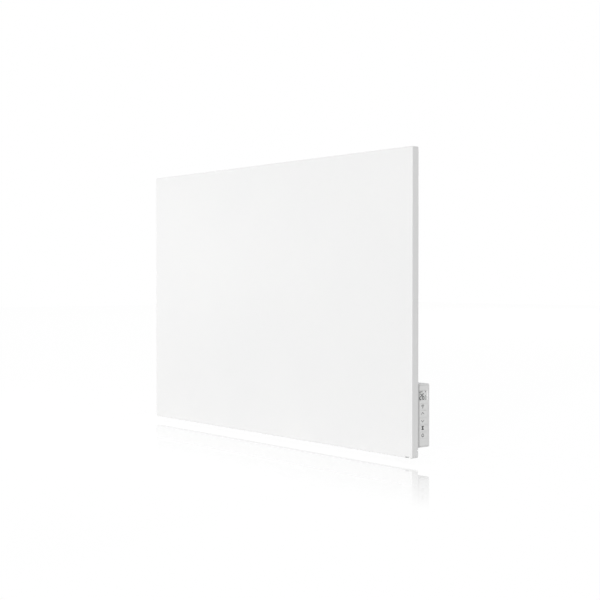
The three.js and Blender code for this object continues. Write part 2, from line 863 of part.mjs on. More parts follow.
function earthLead() {
  const screwX = faceX + earthX;
  const entryX = grommetX - terminalPitch * 1.5;
  const lugMiddleY = onPlateY + leadRadius;
  const lug = moved(ring([
    [earthScrewRadius + play, 0],
    [lugRadius, 0],
    [lugRadius, lugThickness],
    [earthScrewRadius + play, lugThickness],
  ]), screwX, onPlateY, channelZ);
  const lead = wire([
    [entryX, entryY, entryZ],
    [entryX, entryY, channelZ],
    [entryX, lugMiddleY, channelZ],
    [screwX + lugRadius - rooted, lugMiddleY, channelZ],
  ], leadRadius, lugBend);
  return lead.add(lug);
}

addPiece(panel, 'earth_lead', earthLead(), [0x7d9a2f, 0.5, 0]);
const earthSeatY = onPlateY + lugThickness + seat;
const earthReach = earthSeatY - plateFrontY + screwPast;
addPiece(panel, 'earth_screw',
  panScrew(earthScrewRadius, earthHeadRadius, earthHeadHeight, earthReach), steel,
  [faceX + earthX, earthSeatY, channelZ]);

// Control box. Its own frame has the key face at x = 0, the back plate at y = 0 and its underside at z = 0.

const boxMiddle = [-boxWidth / 2, boxDepth / 2, boxHeight / 2];
const bosses = [
  ['lower_left', -boxWidth + bossInset, bossInset],
  ['lower_right', -bossFaceInset, bossInset],
  ['upper_left', -boxWidth + bossInset, boxHeight - bossInset],
  ['upper_right', -bossFaceInset, boxHeight - bossInset],
];
const bezelWidth = boxDepth - 2 * bezelRim;
const bezelHeight = boxHeight - 2 * bezelEndRim;
const windowWidth = bezelWidth - 2 * windowSideWall;
const keyWidth = bezelWidth - 2 * keySideWall;
const keyPitch = (boxHeight - keyDrop - lastKeyRise) / (keyNames.length - 1);
const keyHeight = keyPitch - keyGap;
const lipFrontX = -boxWall - seat;
const lipBackX = lipFrontX - lipThickness;
const skirtFrontX = -bezelThickness - seat;
const skirtBackX = skirtFrontX - skirtThickness;
const switchTopX = skirtBackX - keyTravel - seat;
const keyBoardFrontX = switchTopX - switchHeight;
const keyBoardBackX = keyBoardFrontX - circuitThickness;
const driverBackX = keyBoardBackX - driverThickness;
const windowZ = boxHeight - windowDrop;
const keyZs = keyNames.map((_, index) => boxHeight - keyDrop - index * keyPitch);
const screwSeatY = boxDepth - counterboreDepth;
const postTopY = baseFloor + postHeight;
const powerFrontY = baseFloor + powerStandoff;
const powerBackY = powerFrontY + circuitThickness;
const pegXs = [-powerWidth / 2 + pegInset, powerWidth / 2 - pegInset];
const pegZs = [-powerHeight / 2 + pegInset, powerHeight / 2 - pegInset];

function coverForm(inset) {
  const form = slabY(
    rectangle(boxWidth - 2 * inset, boxHeight - 2 * inset, Math.max(boxCornerRadius - inset, boxInnerRadius)),
    [-2 * boxEdgeRadius, boxDepth - inset],
    Math.max(boxEdgeRadius - inset, leastRadius));
  const low = inset > 0 ? -past : 0;
  return moved(form, boxMiddle[0], 0, boxMiddle[2]).intersect(block(
    [-boxWidth - past, past], [low, boxDepth + past], [-past, boxHeight + past]));
}

function strip(width, height, radius, x) {
  return moved(slabX(rectangle(width, height, radius), x), 0, boxMiddle[1], boxMiddle[2]);
}

function controlCover() {
  let cover = coverForm(0).subtract(coverForm(boxWall));
  const bossRadius = screwHeadRadius + play + bossWall;
  for (const [, x, z] of bosses) {
    cover = cover.add(rod(bossRadius, [x, postTopY + seat, z], [x, boxDepth - boxWall / 2, z], roundSides));
  }
  for (const [, x, z] of bosses) {
    cover = cover
      .subtract(rod(screwRadius + play, [x, postTopY - past, z], [x, boxDepth + past, z]))
      .subtract(rod(screwHeadRadius + play, [x, screwSeatY, z], [x, boxDepth + past, z], roundSides));
  }
  cover = cover.subtract(strip(
    bezelWidth + 2 * seat, bezelHeight + 2 * seat, bezelCornerRadius + seat, [-boxWall - past, past]));
  cover = cover.subtract(rod(
    glandShank + play,
    [glandX, boxMiddle[1], -past], [glandX, boxMiddle[1], boxWall + past], roundSides));
  const slot = slabZ(rectangle(ventWidth, ventLength, ventWidth / 2), [-past, boxWall + past]);
  for (let i = 0; i < ventCount; i += 1) {
    const x = -ventFaceInset - i * ventPitch;
    cover = cover.subtract(moved(slot, x, boxMiddle[1] + ventShift, boxHeight - boxWall));
    if (x > glandX + glandHexRadius + ventWidth) {
      cover = cover.subtract(moved(slot, x, boxMiddle[1] + ventShift, 0));
    }
  }
  return cover;
}

function controlBase() {
  const gap = boxWall + seat;
  const outline = (inset) => rectangle(
    boxWidth - 2 * (gap + inset), boxHeight - 2 * (gap + inset), boxInnerRadius);
  let base = slabY(outline(0), [0, baseFloor + baseRimHeight])
    .subtract(slabY(outline(baseRimWall), [baseFloor, baseFloor + baseRimHeight + past]));
  base = moved(base, boxMiddle[0], 0, boxMiddle[2]);
  base = base
    .subtract(block([driverBackX - seat, past], [baseFloor, boxDepth], [0, boxHeight]))
    .subtract(block([lipBackX - seat, past], [bezelRim - lipWidth - seat, boxDepth], [0, boxHeight]));
  for (const [, x, z] of bosses) {
    base = base.add(rod(postRadius, [x, baseFloor / 2, z], [x, postTopY, z], roundSides));
  }
  for (const dx of pegXs) {
    for (const dz of pegZs) {
      const x = powerMiddleX + dx;
      const z = powerMiddleZ + dz;
      base = base
        .add(rod(pegRadius, [x, baseFloor / 2, z], [x, powerFrontY - seat, z]))
        .add(rod(stakeRadius, [x, baseFloor, z], [x, powerBackY + stakeProud, z]));
    }
  }
  for (const [, x, z] of bosses) {
    base = base.subtract(rod(
      screwRadius + play, [x, postTopY - coverScrewReach - past, z], [x, postTopY + past, z]));
  }
  for (const [, x, z] of baseScrews) {
    base = base.subtract(rod(screwRadius + play, [x, -past, z], [x, baseFloor + past, z]));
  }
  const lugSideX = earthX - lugRadius - wiringRoom;
  const grommetSideX = wiringX + grommetFlange + wiringRoom;
  const opening = slabY(
    rectangle(grommetSideX - lugSideX, 2 * (grommetFlange + wiringRoom), wiringCornerRadius),
    [-past, baseFloor + past]);
  return base.subtract(moved(opening, (lugSideX + grommetSideX) / 2, 0, wiringZ));
}

function controlBezel() {
  let bezel = strip(bezelWidth, bezelHeight, bezelCornerRadius, [lipBackX, 0])
    .add(strip(bezelWidth + 2 * lipWidth, bezelHeight, bezelCornerRadius, [lipBackX, lipFrontX]));
  bezel = bezel.subtract(strip(
    keyWidth + 2 * (seat + skirtWidth + pocketRoom),
    bezelHeight - 2 * pocketEndWall,
    pocketCornerRadius,
    [lipBackX - past, -bezelThickness]));
  const at = (solid, z) => moved(solid, 0, boxMiddle[1], z);
  const recess = rectangle(windowWidth, windowHeight, windowCornerRadius);
  const view = rectangle(
    windowWidth - 2 * windowLedge, windowHeight - 2 * windowLedge, windowCornerRadius);
  bezel = bezel
    .subtract(at(slabX(recess, [-displayLensThickness - seat, past]), windowZ))
    .subtract(at(slabX(view, [-bezelThickness - past, past]), windowZ));
  for (const z of keyZs) {
    const opening = rectangle(keyWidth + 2 * seat, keyHeight + 2 * seat, keyCornerRadius + seat);
    bezel = bezel.subtract(at(slabX(opening, [-bezelThickness - past, past]), z));
  }
  for (const [y, z] of stakes) {
    bezel = bezel
      .add(rod(pillarRadius, [keyBoardFrontX + seat, y, z], [-bezelThickness + rooted, y, z]))
      .add(rod(stakeRadius, [keyBoardBackX - stakeProud, y, z], [-bezelThickness + rooted, y, z]));
  }
  return bezel;
}

const stakeY = bezelWidth / 2 - stakeInset;
const stakes = [
  [boxMiddle[1] - stakeY, bezelEndRim + stakeInset],
  [boxMiddle[1] + stakeY, bezelEndRim + stakeInset],
  [boxMiddle[1] - stakeY, boxHeight - bezelEndRim - stakeInset],
  [boxMiddle[1] + stakeY, boxHeight - bezelEndRim - stakeInset],
];

// A key about its own middle: a dished cap through the bezel, a skirt behind it, a stem into the switch
function keyCap() {
  const cap = slabX(
    rectangle(keyWidth, keyHeight, keyCornerRadius), [skirtBackX, keyProud], keyEdgeRadius);
  const skirt = slabX(
    rectangle(keyWidth + 2 * skirtWidth, keyHeight + 2 * skirtRise, keyCornerRadius),
    [skirtBackX, skirtFrontX]);
  const stem = rod(stemRadius, [switchTopX - stemReach, 0, 0], [skirtBackX + rooted, 0, 0]);
  const dishRadius = (keyHeight * keyHeight / 4 + keyDish * keyDish) / (2 * keyDish);
  const dishMiddleX = keyProud - keyDish + dishRadius;
  const dishEndY = keyWidth / 2 - dishSideGap;
  const dish = rod(
    dishRadius, [dishMiddleX, -dishEndY, 0], [dishMiddleX, dishEndY, 0], dishSides);
  return cap.subtract(dish).add(skirt).add(stem);
}

function keyBoard() {
  let board = strip(
    bezelWidth - 2 * keyBoardEdgeGap,
    bezelHeight - 2 * keyBoardEdgeGap,
    circuitCornerRadius,
    [keyBoardBackX, keyBoardFrontX]);
  for (const z of keyZs) {
    board = board.add(block(
      [keyBoardFrontX - rooted, switchTopX], span(boxMiddle[1], switchSize), span(z, switchSize)));
    board = board.subtract(rod(
      stemRadius + play, [switchTopX - stemReach - keyTravel - seat, boxMiddle[1], z],
      [switchTopX + past, boxMiddle[1], z]));
  }
  for (const [y, z] of stakes) {
    board = board.subtract(rod(
      stakeRadius + play, [keyBoardBackX - past, y, z], [keyBoardFrontX + past, y, z]));
  }
  const driver = slabX(rectangle(driverSize, driverSize, sharp), [driverBackX, keyBoardBackX + rooted]);
  return board.add(moved(driver, 0, boxMiddle[1], windowZ - windowHeight));
}

function lcdModule() {
  const ledge = windowLedge - lcdOverlap;
  const glass = rectangle(windowWidth - 2 * ledge, windowHeight - 2 * ledge, sharp);
  const frame = rectangle(windowWidth - 2 * lcdFrameInset, windowHeight - 2 * lcdFrameInset, sharp);
  const glassFrontX = -bezelThickness - seat;
  const glassBackX = glassFrontX - lcdGlassThickness;
  return slabX(glass, [glassBackX, glassFrontX])
    .add(slabX(frame, [keyBoardFrontX + seat, glassBackX + rooted]));
}

// Edges of the power board, from its own middle, and what is placed from them

const powerFarX = -powerWidth / 2;
const powerNearX = powerWidth / 2;
const powerLowZ = -powerHeight / 2;
const powerHighZ = powerHeight / 2;
const terminalZ = powerHighZ - terminalTopInset - terminalSize[2] / 2;
const relayZ = terminalZ - terminalSize[2] / 2 - relayTerminalGap - relaySize[2] / 2;
const supplyZ = powerLowZ + supplyRise + supplySize[2] / 2;
const fuseZ = (relayZ - relaySize[2] / 2 + supplyZ + supplySize[2] / 2) / 2;

function powerBoard() {
  let board = slabY(rectangle(powerWidth, powerHeight, circuitCornerRadius), [powerFrontY, powerBackY]);
  for (const dx of pegXs) {
    for (const dz of pegZs) {
      board = board.subtract(rod(
        stakeRadius + play, [dx, powerFrontY - past, dz], [dx, powerBackY + past, dz]));
    }
  }
  const capacitorX = powerNearX - capacitorInset - capacitorRadius;
  const capacitorZ = powerLowZ + capacitorRise + capacitorRadius;
  board = board.add(rod(
    capacitorRadius,
    [capacitorX, powerBackY - rooted, capacitorZ],
    [capacitorX, powerBackY + capacitorHeight, capacitorZ], roundSides));
  const fuseX = [powerFarX + fuseInset, powerFarX + fuseInset + fuseLength];
  const fuseY = powerBackY + fuseRadius;
  board = board.add(rod(fuseRadius, [fuseX[0], fuseY, fuseZ], [fuseX[1], fuseY, fuseZ]));
  for (const x of [fuseX[0], fuseX[1] - fuseClipWidth]) {
    board = board.add(block(
      [x, x + fuseClipWidth], [powerBackY - rooted, fuseY], span(fuseZ, fuseClipDepth)));
  }
  return board;
}

function terminalBlock() {
  const [width, height, depth] = terminalSize;
  let body = block(span(0, width), [0, height - terminalLedgeDrop], span(0, depth))
    .add(block(span(0, width), [0, height], [-depth / 2, depth / 2 - terminalLedge]));
  const ways = Math.floor(width / terminalPitch) - 1;
  for (let i = 0; i < ways; i += 1) {
    const x = (i - (ways - 1) / 2) * terminalPitch;
    body = body
      .subtract(rod(leadRadius + play, [x, terminalEntryHeight, 0], [x, terminalEntryHeight, depth]))
      .subtract(rod(
        terminalScrewRadius,
        [x, height - terminalLedgeDrop, -terminalLedge / 2], [x, height + past, -terminalLedge / 2]));
  }
  return body;
}

function onPowerBoard(name, solid, look, x, z) {
  addPiece(controlBox, name, solid, look, [powerMiddleX + x, powerBackY + seat, powerMiddleZ + z]);
}

function module([width, height, depth]) {
  return slabY(rectangle(width, depth, 2 * moduleEdge), [-moduleEdge, height], moduleEdge, 1)
    .intersect(block(span(0, width), [0, height], span(0, depth)));
}

function wifiModule() {
  const [width, height, depth] = wifiSize;
  const canDepth = depth - antennaLength - wifiCanInset;
  const can = slabY(
    rectangle(width - 2 * wifiCanInset, canDepth, moduleEdge), [wifiBoardThickness / 2, height]);
  return block(span(0, width), [0, wifiBoardThickness], span(0, depth))
    .add(moved(can, 0, 0, (wifiCanInset - antennaLength) / 2));
}

function roomSensor() {
  const bead = sensorBeadRadius;
  const beadMiddle = sensorHeight - bead;
  const slope = Math.SQRT1_2 * bead;
  return turned([
    [0, 0],
    [sensorFootRadius, 0],
    [sensorFootRadius, sensorLegRadius],
    [sensorLegRadius, sensorFootRadius],
    [sensorLegRadius, beadMiddle - bead],
    [slope, beadMiddle - slope],
    [bead, beadMiddle],
    [slope, beadMiddle + slope],
    [0, sensorHeight],
  ]);
}

function hexagon(radius, low, high) {
  return rod(radius, [0, 0, low], [0, 0, high], 6);
}

function cableGland() {
  const hexLow = -seat - glandHexHeight;
  const domeLow = hexLow - glandDomeHeight;
  const shankHigh = boxWall + seat + glandNutHeight + glandShankProud;
  const dome = turned([
    [0, domeLow],
    [glandBore + glandMouthWall, domeLow],
    [glandDomeRadius - glandShoulder / 3, domeLow + glandShoulder],
    [glandDomeRadius, domeLow + 2 * glandShoulder],
    [glandDomeRadius, hexLow + rooted],
    [0, hexLow + rooted],
  ], roundSides).rotate([90, 0, 0]);
  return hexagon(glandHexRadius, hexLow, -seat)
    .add(dome)
    .add(rod(glandShank, [0, 0, hexLow + rooted], [0, 0, shankHigh], roundSides))
    .subtract(rod(glandBore, [0, 0, domeLow - past], [0, 0, shankHigh + past], roundSides));
}

function glandNut() {
  return hexagon(glandNutRadius, 0, glandNutHeight)
    .subtract(rod(glandShank + play, [0, 0, -past], [0, 0, glandNutHeight + past], roundSides));
}

addPiece(controlBox, 'control_base', controlBase(), housing);
addPiece(controlBox, 'control_cover', controlCover(), housing);
addPiece(controlBox, 'control_bezel', controlBezel(), housing);
const lensForm = rectangle(windowWidth - 2 * seat, windowHeight - 2 * seat, windowCornerRadius - seat);
addPiece(controlBox, 'display_lens', slabX(lensForm, [-displayLensThickness, 0]), [0x9fa5a8, 0.1, 0],
  [0, boxMiddle[1], windowZ]);
addPiece(controlBox, 'lcd_module', lcdModule(), [0xc9cec9, 0.25, 0], [0, boxMiddle[1], windowZ]);
addPiece(controlBox, 'key_board', keyBoard(), circuitGreen);
keyNames.forEach((name, index) => {
  addPiece(controlBox, name, keyCap(), keyPlastic, [0, boxMiddle[1], keyZs[index]]);
});
addPiece(controlBox, 'power_board', powerBoard(), circuitGreen, [powerMiddleX, 0, powerMiddleZ]);
onPowerBoard('relay', module(relaySize), darkPlastic, powerFarX + relayInset + relaySize[0] / 2, relayZ);
onPowerBoard('supply_module', module(supplySize), darkPlastic,
  powerFarX + supplyInset + supplySize[0] / 2, supplyZ);
onPowerBoard('terminal_block', terminalBlock(), [0x3f7a52, 0.5, 0], wiringX - powerMiddleX, terminalZ);
onPowerBoard('wifi_module', wifiModule(), [0xb8bcc0, 0.35, 0.8],
  powerNearX - wifiInset - wifiSize[0] / 2, powerLowZ + wifiRise + wifiSize[2] / 2);
onPowerBoard('room_sensor', roomSensor(), darkPlastic, powerNearX - sensorInset, powerLowZ + sensorRise);
addPiece(controlBox, 'cable_gland', cableGland(), darkPlastic, [glandX, boxMiddle[1], 0]);
addPiece(controlBox, 'gland_nut', glandNut(), darkPlastic, [glandX, boxMiddle[1], boxWall + seat]);
for (const [place, x, z] of bosses) {
  const screw = panScrew(
    screwRadius, screwHeadRadius, screwHeadHeight, screwSeatY + seat - postTopY + coverScrewReach);
  addPiece(controlBox, `cover_screw_${place}`, screw, steel, [x, screwSeatY + seat, z]);
}
for (const [place, x, z] of baseScrews) {
  const reach = baseFloor + seat + onPlateY - plateFrontY + screwPast;
  const screw = panScrew(screwRadius, screwHeadRadius, screwHeadHeight, reach);
  addPiece(controlBox, `base_screw_${place}`, screw, steel, [x, baseFloor + seat, z]);
}

export default heater;
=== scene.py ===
import math

import bmesh
import bpy
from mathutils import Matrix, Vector


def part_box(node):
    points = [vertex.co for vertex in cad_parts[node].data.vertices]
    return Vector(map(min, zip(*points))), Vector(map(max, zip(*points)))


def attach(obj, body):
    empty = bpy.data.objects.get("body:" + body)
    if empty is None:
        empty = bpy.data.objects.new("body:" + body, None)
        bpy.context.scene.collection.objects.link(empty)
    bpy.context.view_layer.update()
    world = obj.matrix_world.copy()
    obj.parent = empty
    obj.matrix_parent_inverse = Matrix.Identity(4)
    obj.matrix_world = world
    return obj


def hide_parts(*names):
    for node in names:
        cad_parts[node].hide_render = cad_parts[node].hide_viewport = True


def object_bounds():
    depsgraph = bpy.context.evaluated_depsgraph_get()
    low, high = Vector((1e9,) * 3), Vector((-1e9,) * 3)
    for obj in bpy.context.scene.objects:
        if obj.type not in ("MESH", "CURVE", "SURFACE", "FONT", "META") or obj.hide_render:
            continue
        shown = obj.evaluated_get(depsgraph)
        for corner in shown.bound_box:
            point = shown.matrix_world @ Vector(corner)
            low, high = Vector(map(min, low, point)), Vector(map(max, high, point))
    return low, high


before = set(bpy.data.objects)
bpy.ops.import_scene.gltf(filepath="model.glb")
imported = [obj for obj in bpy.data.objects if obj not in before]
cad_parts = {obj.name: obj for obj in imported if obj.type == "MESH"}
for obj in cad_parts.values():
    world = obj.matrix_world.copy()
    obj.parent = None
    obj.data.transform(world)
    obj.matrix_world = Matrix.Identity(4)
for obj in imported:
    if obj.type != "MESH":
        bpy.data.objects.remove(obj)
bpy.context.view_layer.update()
mm = 0.001
tiny = 0.02 * mm  # two places closer than this are the same place
past = 2 * mm  # how far a cutter reaches past a sheet
bpy.context.scene.view_settings.view_transform = "Standard"


# Camera, where the photograph was taken from

view = {"place": (1.960, -1.5755, 0.042), "tilt": 89.02, "turn": 49.99, "lens": 67.4, "sensor": 36}


def placeCamera():
    bpy.ops.object.camera_add(
        location=view["place"],
        rotation=(math.radians(view["tilt"]), 0, math.radians(view["turn"])))
    camera = bpy.context.object
    camera.name = "Camera"
    camera.data.lens = view["lens"]
    camera.data.sensor_width = view["sensor"]
    bpy.context.scene.camera = camera


placeCamera()
print("camera placed")


# Modelling

def middleOf(node):
    low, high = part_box(node)
    return (low + high) / 2


def nodesNamed(start):
    return sorted(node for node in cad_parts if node.startswith(start))


def pieceName(node):
    return node.replace("_", "-")


def selectOnly(*pieces):
    bpy.ops.object.select_all(action="DESELECT")
    for piece in pieces:
        piece.select_set(True)
    bpy.context.view_layer.objects.active = pieces[0]


def settle(piece):
    selectOnly(piece)
    bpy.ops.object.transform_apply(location=True, rotation=True, scale=True)
    return piece


def addBlock(name, low, high):
    bpy.ops.mesh.primitive_cube_add(size=1, location=[(a + b) / 2 for a, b in zip(low, high)])
    block = bpy.context.object
    block.name = name
    block.scale = [b - a for a, b in zip(low, high)]
    return settle(block)


def addPlane(name, at, wide, high, turn=-90):  # turned about X, in degrees: -90 stands it up
    bpy.ops.mesh.primitive_plane_add(size=1, location=at, rotation=(math.radians(turn), 0, 0))
    plane = bpy.context.object
    plane.name = name
    plane.scale = (wide, high, 1)
    return settle(plane)


def addRod(name, radius, axis, at, low, high, sides=32):  # through a place, along one axis
    start, end = Vector(at), Vector(at)
    start[axis], end[axis] = low, high
    length = end - start
    bpy.ops.mesh.primitive_cone_add(
        vertices=sides, radius1=radius, radius2=radius, depth=length.length,
        location=(start + end) / 2, rotation=length.to_track_quat("Z", "Y").to_euler())
    rod = bpy.context.object
    rod.name = name
    return settle(rod)


class Shaping:
    # A piece opened in edit mode
    def __init__(self, piece):
        self.piece = piece

    def __enter__(self):
        selectOnly(self.piece)
        bpy.ops.object.mode_set(mode="EDIT")
        return self

    def __exit__(self, *about):
        bpy.ops.object.mode_set(mode="OBJECT")

    def pick(self, kind, test):
        bpy.ops.mesh.select_mode(type=kind)
        bpy.ops.mesh.select_all(action="DESELECT")
        shape = bmesh.from_edit_mesh(self.piece.data)
        parts = {"VERT": shape.verts, "EDGE": shape.edges, "FACE": shape.faces}[kind]
        for part in parts:
            if test(part):
                part.select_set(True)
        shape.select_flush_mode()
        bmesh.update_edit_mesh(self.piece.data)

    def faces(self, test):
        self.pick("FACE", lambda face: test(face.calc_center_median(), face.normal))

    def edges(self, test, leastAngle=0):  # leastAngle leaves out flat seams, in degrees
        least = math.radians(leastAngle)
        self.pick("EDGE", lambda edge: test(edge.verts[0].co, edge.verts[1].co)
                  and (least == 0 or edge.calc_face_angle(9) >= least))

    def rim(self, axis, place, leastAngle=0):  # the edges that lie in one plane
        self.edges(lambda a, b: level(axis, place, a, b), leastAngle)

    def sides(self, axis):  # the edges that run along one axis
        self.edges(lambda a, b: along(axis, a, b))

    def corners(self, test):
        self.pick("VERT", lambda corner: test(corner.co))

    def everything(self):
        bpy.ops.mesh.select_all(action="SELECT")

    def bevel(self, width, steps=1, affect="EDGES"):
        bpy.ops.mesh.bevel(offset=width, offset_type="OFFSET", segments=steps, affect=affect,
                           profile=0.5, clamp_overlap=True)

    def extrude(self, x=0, y=0, z=0):
        bpy.ops.mesh.extrude_region_move(TRANSFORM_OT_translate={"value": (x, y, z)})

    def inset(self, width):
        bpy.ops.mesh.inset(thickness=width)

    def resize(self, factors, about=(0, 0, 0)):
        bpy.ops.transform.resize(value=factors, center_override=about)

    def remove(self, kind="FACE"):
        bpy.ops.mesh.delete(type=kind)

    def turnOutwards(self):
        self.everything()
        bpy.ops.mesh.normals_make_consistent(inside=False)

    def closeSeams(self):
        self.everything()
        bpy.ops.mesh.remove_doubles(threshold=tiny / 2)
        self.turnOutwards()


def along(axis, a, b):  # an edge that runs along one axis
    return all(abs(a[i] - b[i]) < tiny for i in range(3) if i != axis)


def level(axis, place, *points):  # points that lie in one plane
    return all(abs(point[axis] - place) < tiny for point in points)


def roundedBlock(name, low, high, axis, corner, cornerSteps=5, edge=0, edgeSteps=3, ends=(1,)):
    block = addBlock(name, low, high)
    with Shaping(block) as shaping:
        shaping.edges(lambda a, b: along(axis, a, b))
        shaping.bevel(corner, cornerSteps)
        for end in ends if edge else ():
            shaping.rim(axis, (low, high)[end][axis])
            shaping.bevel(edge, edgeSteps)
    return block


def joined(name, pieces):
    selectOnly(*pieces)
    if len(pieces) > 1:
        bpy.ops.object.join()
    piece = bpy.context.object
    piece.name = name
    return piece


def applied(piece, kind, **settings):
    selectOnly(piece)
    modifier = piece.modifiers.new(kind.title(), kind)
    for key, value in settings.items():
        setattr(modifier, key, value)
    bpy.ops.object.modifier_apply(modifier=modifier.name)
    return piece


def thickened(piece, sheet, offset=-1):
    return applied(piece, "SOLIDIFY", thickness=sheet * mm, offset=offset, use_even_offset=True)


def combined(piece, tools, operation="DIFFERENCE"):
    if operation == "DIFFERENCE":
        tools = [joined("tool", tools)]
    for tool in tools:
        applied(piece, "BOOLEAN", operation=operation, object=tool, solver="EXACT")
        bpy.data.objects.remove(tool)
    return piece


def copied(piece, name, offset):
    selectOnly(piece)
    bpy.ops.object.duplicate()
    twin = bpy.context.object
    twin.name = name
    twin.location = offset
    return settle(twin)


def repeated(make, nodes):  # the first piece is modelled, the others are its copies
    first = make(pieceName(nodes[0]), nodes[0])
    return [first] + [
        copied(first, pieceName(node), middleOf(node) - middleOf(nodes[0])) for node in nodes[1:]]


def smoothed(piece, angle=32):
    selectOnly(piece)
    bpy.ops.object.shade_smooth_by_angle(angle=math.radians(angle))
    return applied(piece, "WEIGHTED_NORMAL", keep_sharp=True, weight=80)


def finished(piece, finish):
    piece.data.materials.clear()
    piece.data.materials.append(finishes[finish])


def fitted(piece, body, slot, finish, *nodes):
    finished(piece, finish)
    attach(piece, body)
    if nodes:
        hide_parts(*nodes)


def fitSet(make, nodes, slot, finish):
    for piece, node in zip(repeated(make, nodes), nodes):
        fitted(piece, "heater", slot, finish, node)


# Shader maths

class Signal:
    def __init__(self, shading, socket):
        self.shading = shading
        self.socket = socket

    def maths(self, operation, a, b):
        return self.shading.add("Math", {"operation": operation}, {0: a, 1: b})

    def __add__(self, other):
        return self.maths("ADD", self, other)

    __radd__ = __add__

    def __sub__(self, other):
        return self.maths("SUBTRACT", self, other)

    def __rsub__(self, other):
        return self.maths("SUBTRACT", other, self)

    def __mul__(self, other):
        return self.maths("MULTIPLY", self, other)

    __rmul__ = __mul__

    def __gt__(self, other):
        return self.maths("GREATER_THAN", self, other)

    def __lt__(self, other):
        return self.maths("LESS_THAN", self, other)

    def size(self):
        return self.maths("ABSOLUTE", self, 0)

    def orMore(self, least):
        return self.maths("MAXIMUM", self, least)


class Shading:
    # The shader nodes of a material or of the world
    def __init__(self, owner, outputKind):
        owner.use_nodes = True
        self.tree = owner.node_tree
        self.tree.nodes.clear()
        self.output = self.tree.nodes.new("ShaderNodeOutput" + outputKind)

    def feed(self, socket, value):
        if isinstance(value, Signal):
            self.tree.links.new(value.socket, socket)
        elif socket.type == "RGBA" and len(value) == 3:
            socket.default_value = (*value, 1)
        else:
            socket.default_value = value

    def add(self, kind, settings, sockets, output=0):
        node = self.tree.nodes.new("ShaderNode" + kind)
        for key, value in settings.items():
            setattr(node, key, value)
        for key, value in sockets.items():
            self.feed(node.inputs[key], value)
        return Signal(self, node.outputs[output])

    def show(self, signal):
        self.feed(self.output.inputs["Surface"], signal)

    def seenStraight(self):  # 1 for the camera, also by way of a mirror or through glass
        camera, glossy, through = [self.add("LightPath", {}, {}, "Is %s Ray" % ray)
                                   for ray in ("Camera", "Glossy", "Transmission")]
        return camera.orMore(glossy).orMore(through)


class Finish(Shading):
    # A material round one Principled shader
    def __init__(self, name, **settings):
        self.material = bpy.data.materials.new(name)
        super().__init__(self.material, "Material")
        self.shader = self.tree.nodes.new("ShaderNodeBsdfPrincipled")
        self.surface = Signal(self, self.shader.outputs[0])
        self.show(self.surface)
        self.set(**settings)
        self.place = self.add("TexCoord", {}, {}, "Object")

    def set(self, **settings):  # baseColor feeds the socket Base Color, and so on
        for key, value in settings.items():
            words = "".join(" " + c if c.isupper() else c for c in key[0].upper() + key[1:]).strip()
            self.feed(self.shader.inputs[words.replace("I O R", "IOR")], value)

    def noise(self, scale, detail=2, roughness=0.5, place=None, output="Fac"):
        sockets = {
            "Vector": place or self.place, "Scale": scale, "Detail": detail, "Roughness": roughness}
        return self.add("TexNoise", {}, sockets, output)

    def cells(self, scale, feature="F1", output="Distance", place=None):
        sockets = {"Vector": place or self.place, "Scale": scale}
        return self.add("TexVoronoi", {"feature": feature}, sockets, output)

    def stripes(self, scale, direction):
        sockets = {"Vector": self.place, "Scale": scale}
        return self.add("TexWave", {"bands_direction": direction}, sockets, "Fac")

    def stretched(self, x=1, y=1, z=1, turn=(0, 0, 0)):
        return self.add("Mapping", {}, {"Vector": self.place, "Scale": (x, y, z), "Rotation": turn})

    def part(self, axis, vector=None):
        return self.add("SeparateXYZ", {}, {0: vector or self.place}, axis)

    def mix(self, amount, a, b):
        return self.add("Mix", {"data_type": "RGBA"}, {0: amount, 6: a, 7: b}, 2)

    def grade(self, signal, low, high, fromLow=0, fromHigh=1):
        sockets = {0: signal, 1: fromLow, 2: fromHigh, 3: low, 4: high}
        return self.add("MapRange", {"clamp": True}, sockets)

    def spread(self, noise, low=0, high=1):  # a noise mostly keeps between 0.3 and 0.7
        return self.grade(noise, low, high, 0.3, 0.7)

    def bumped(self, height, depth, strength):  # depth in mm
        sockets = {"Height": height, "Distance": depth * mm, "Strength": strength}
        self.set(normal=self.add("Bump", {}, sockets, "Normal"))
        return self.material


# Finishes

coat = {"white": (0.872, 0.872, 0.868), "cool": (0.858, 0.859, 0.858), "cloud": 3.2, "peel": 520,
        "grain": 2600, "rough": (0.40, 0.52), "depth": 0.012}


def powderCoatFinish():
    powder = Finish("powder coat", specularIORLevel=0.42)
    cloud = powder.noise(coat["cloud"], 3)
    peel = powder.noise(coat["peel"], 2, 0.4)
    grain = powder.noise(coat["grain"], 1)
    powder.set(
        baseColor=powder.mix(powder.grade(cloud, 0, 1, 0.35, 0.65), coat["white"], coat["cool"]),
        roughness=powder.spread(peel, *coat["rough"]) + 0.03 * cloud)
    return powder.bumped(peel + 0.25 * grain, coat["depth"], 0.7)


zincSheet = {"dark": (0.50, 0.52, 0.535), "light": (0.66, 0.68, 0.69), "spangle": 130, "warp": 60,
             "warpBy": 0.006, "cloud": 40, "feather": 900, "rough": (0.30, 0.46), "depth": 0.008}


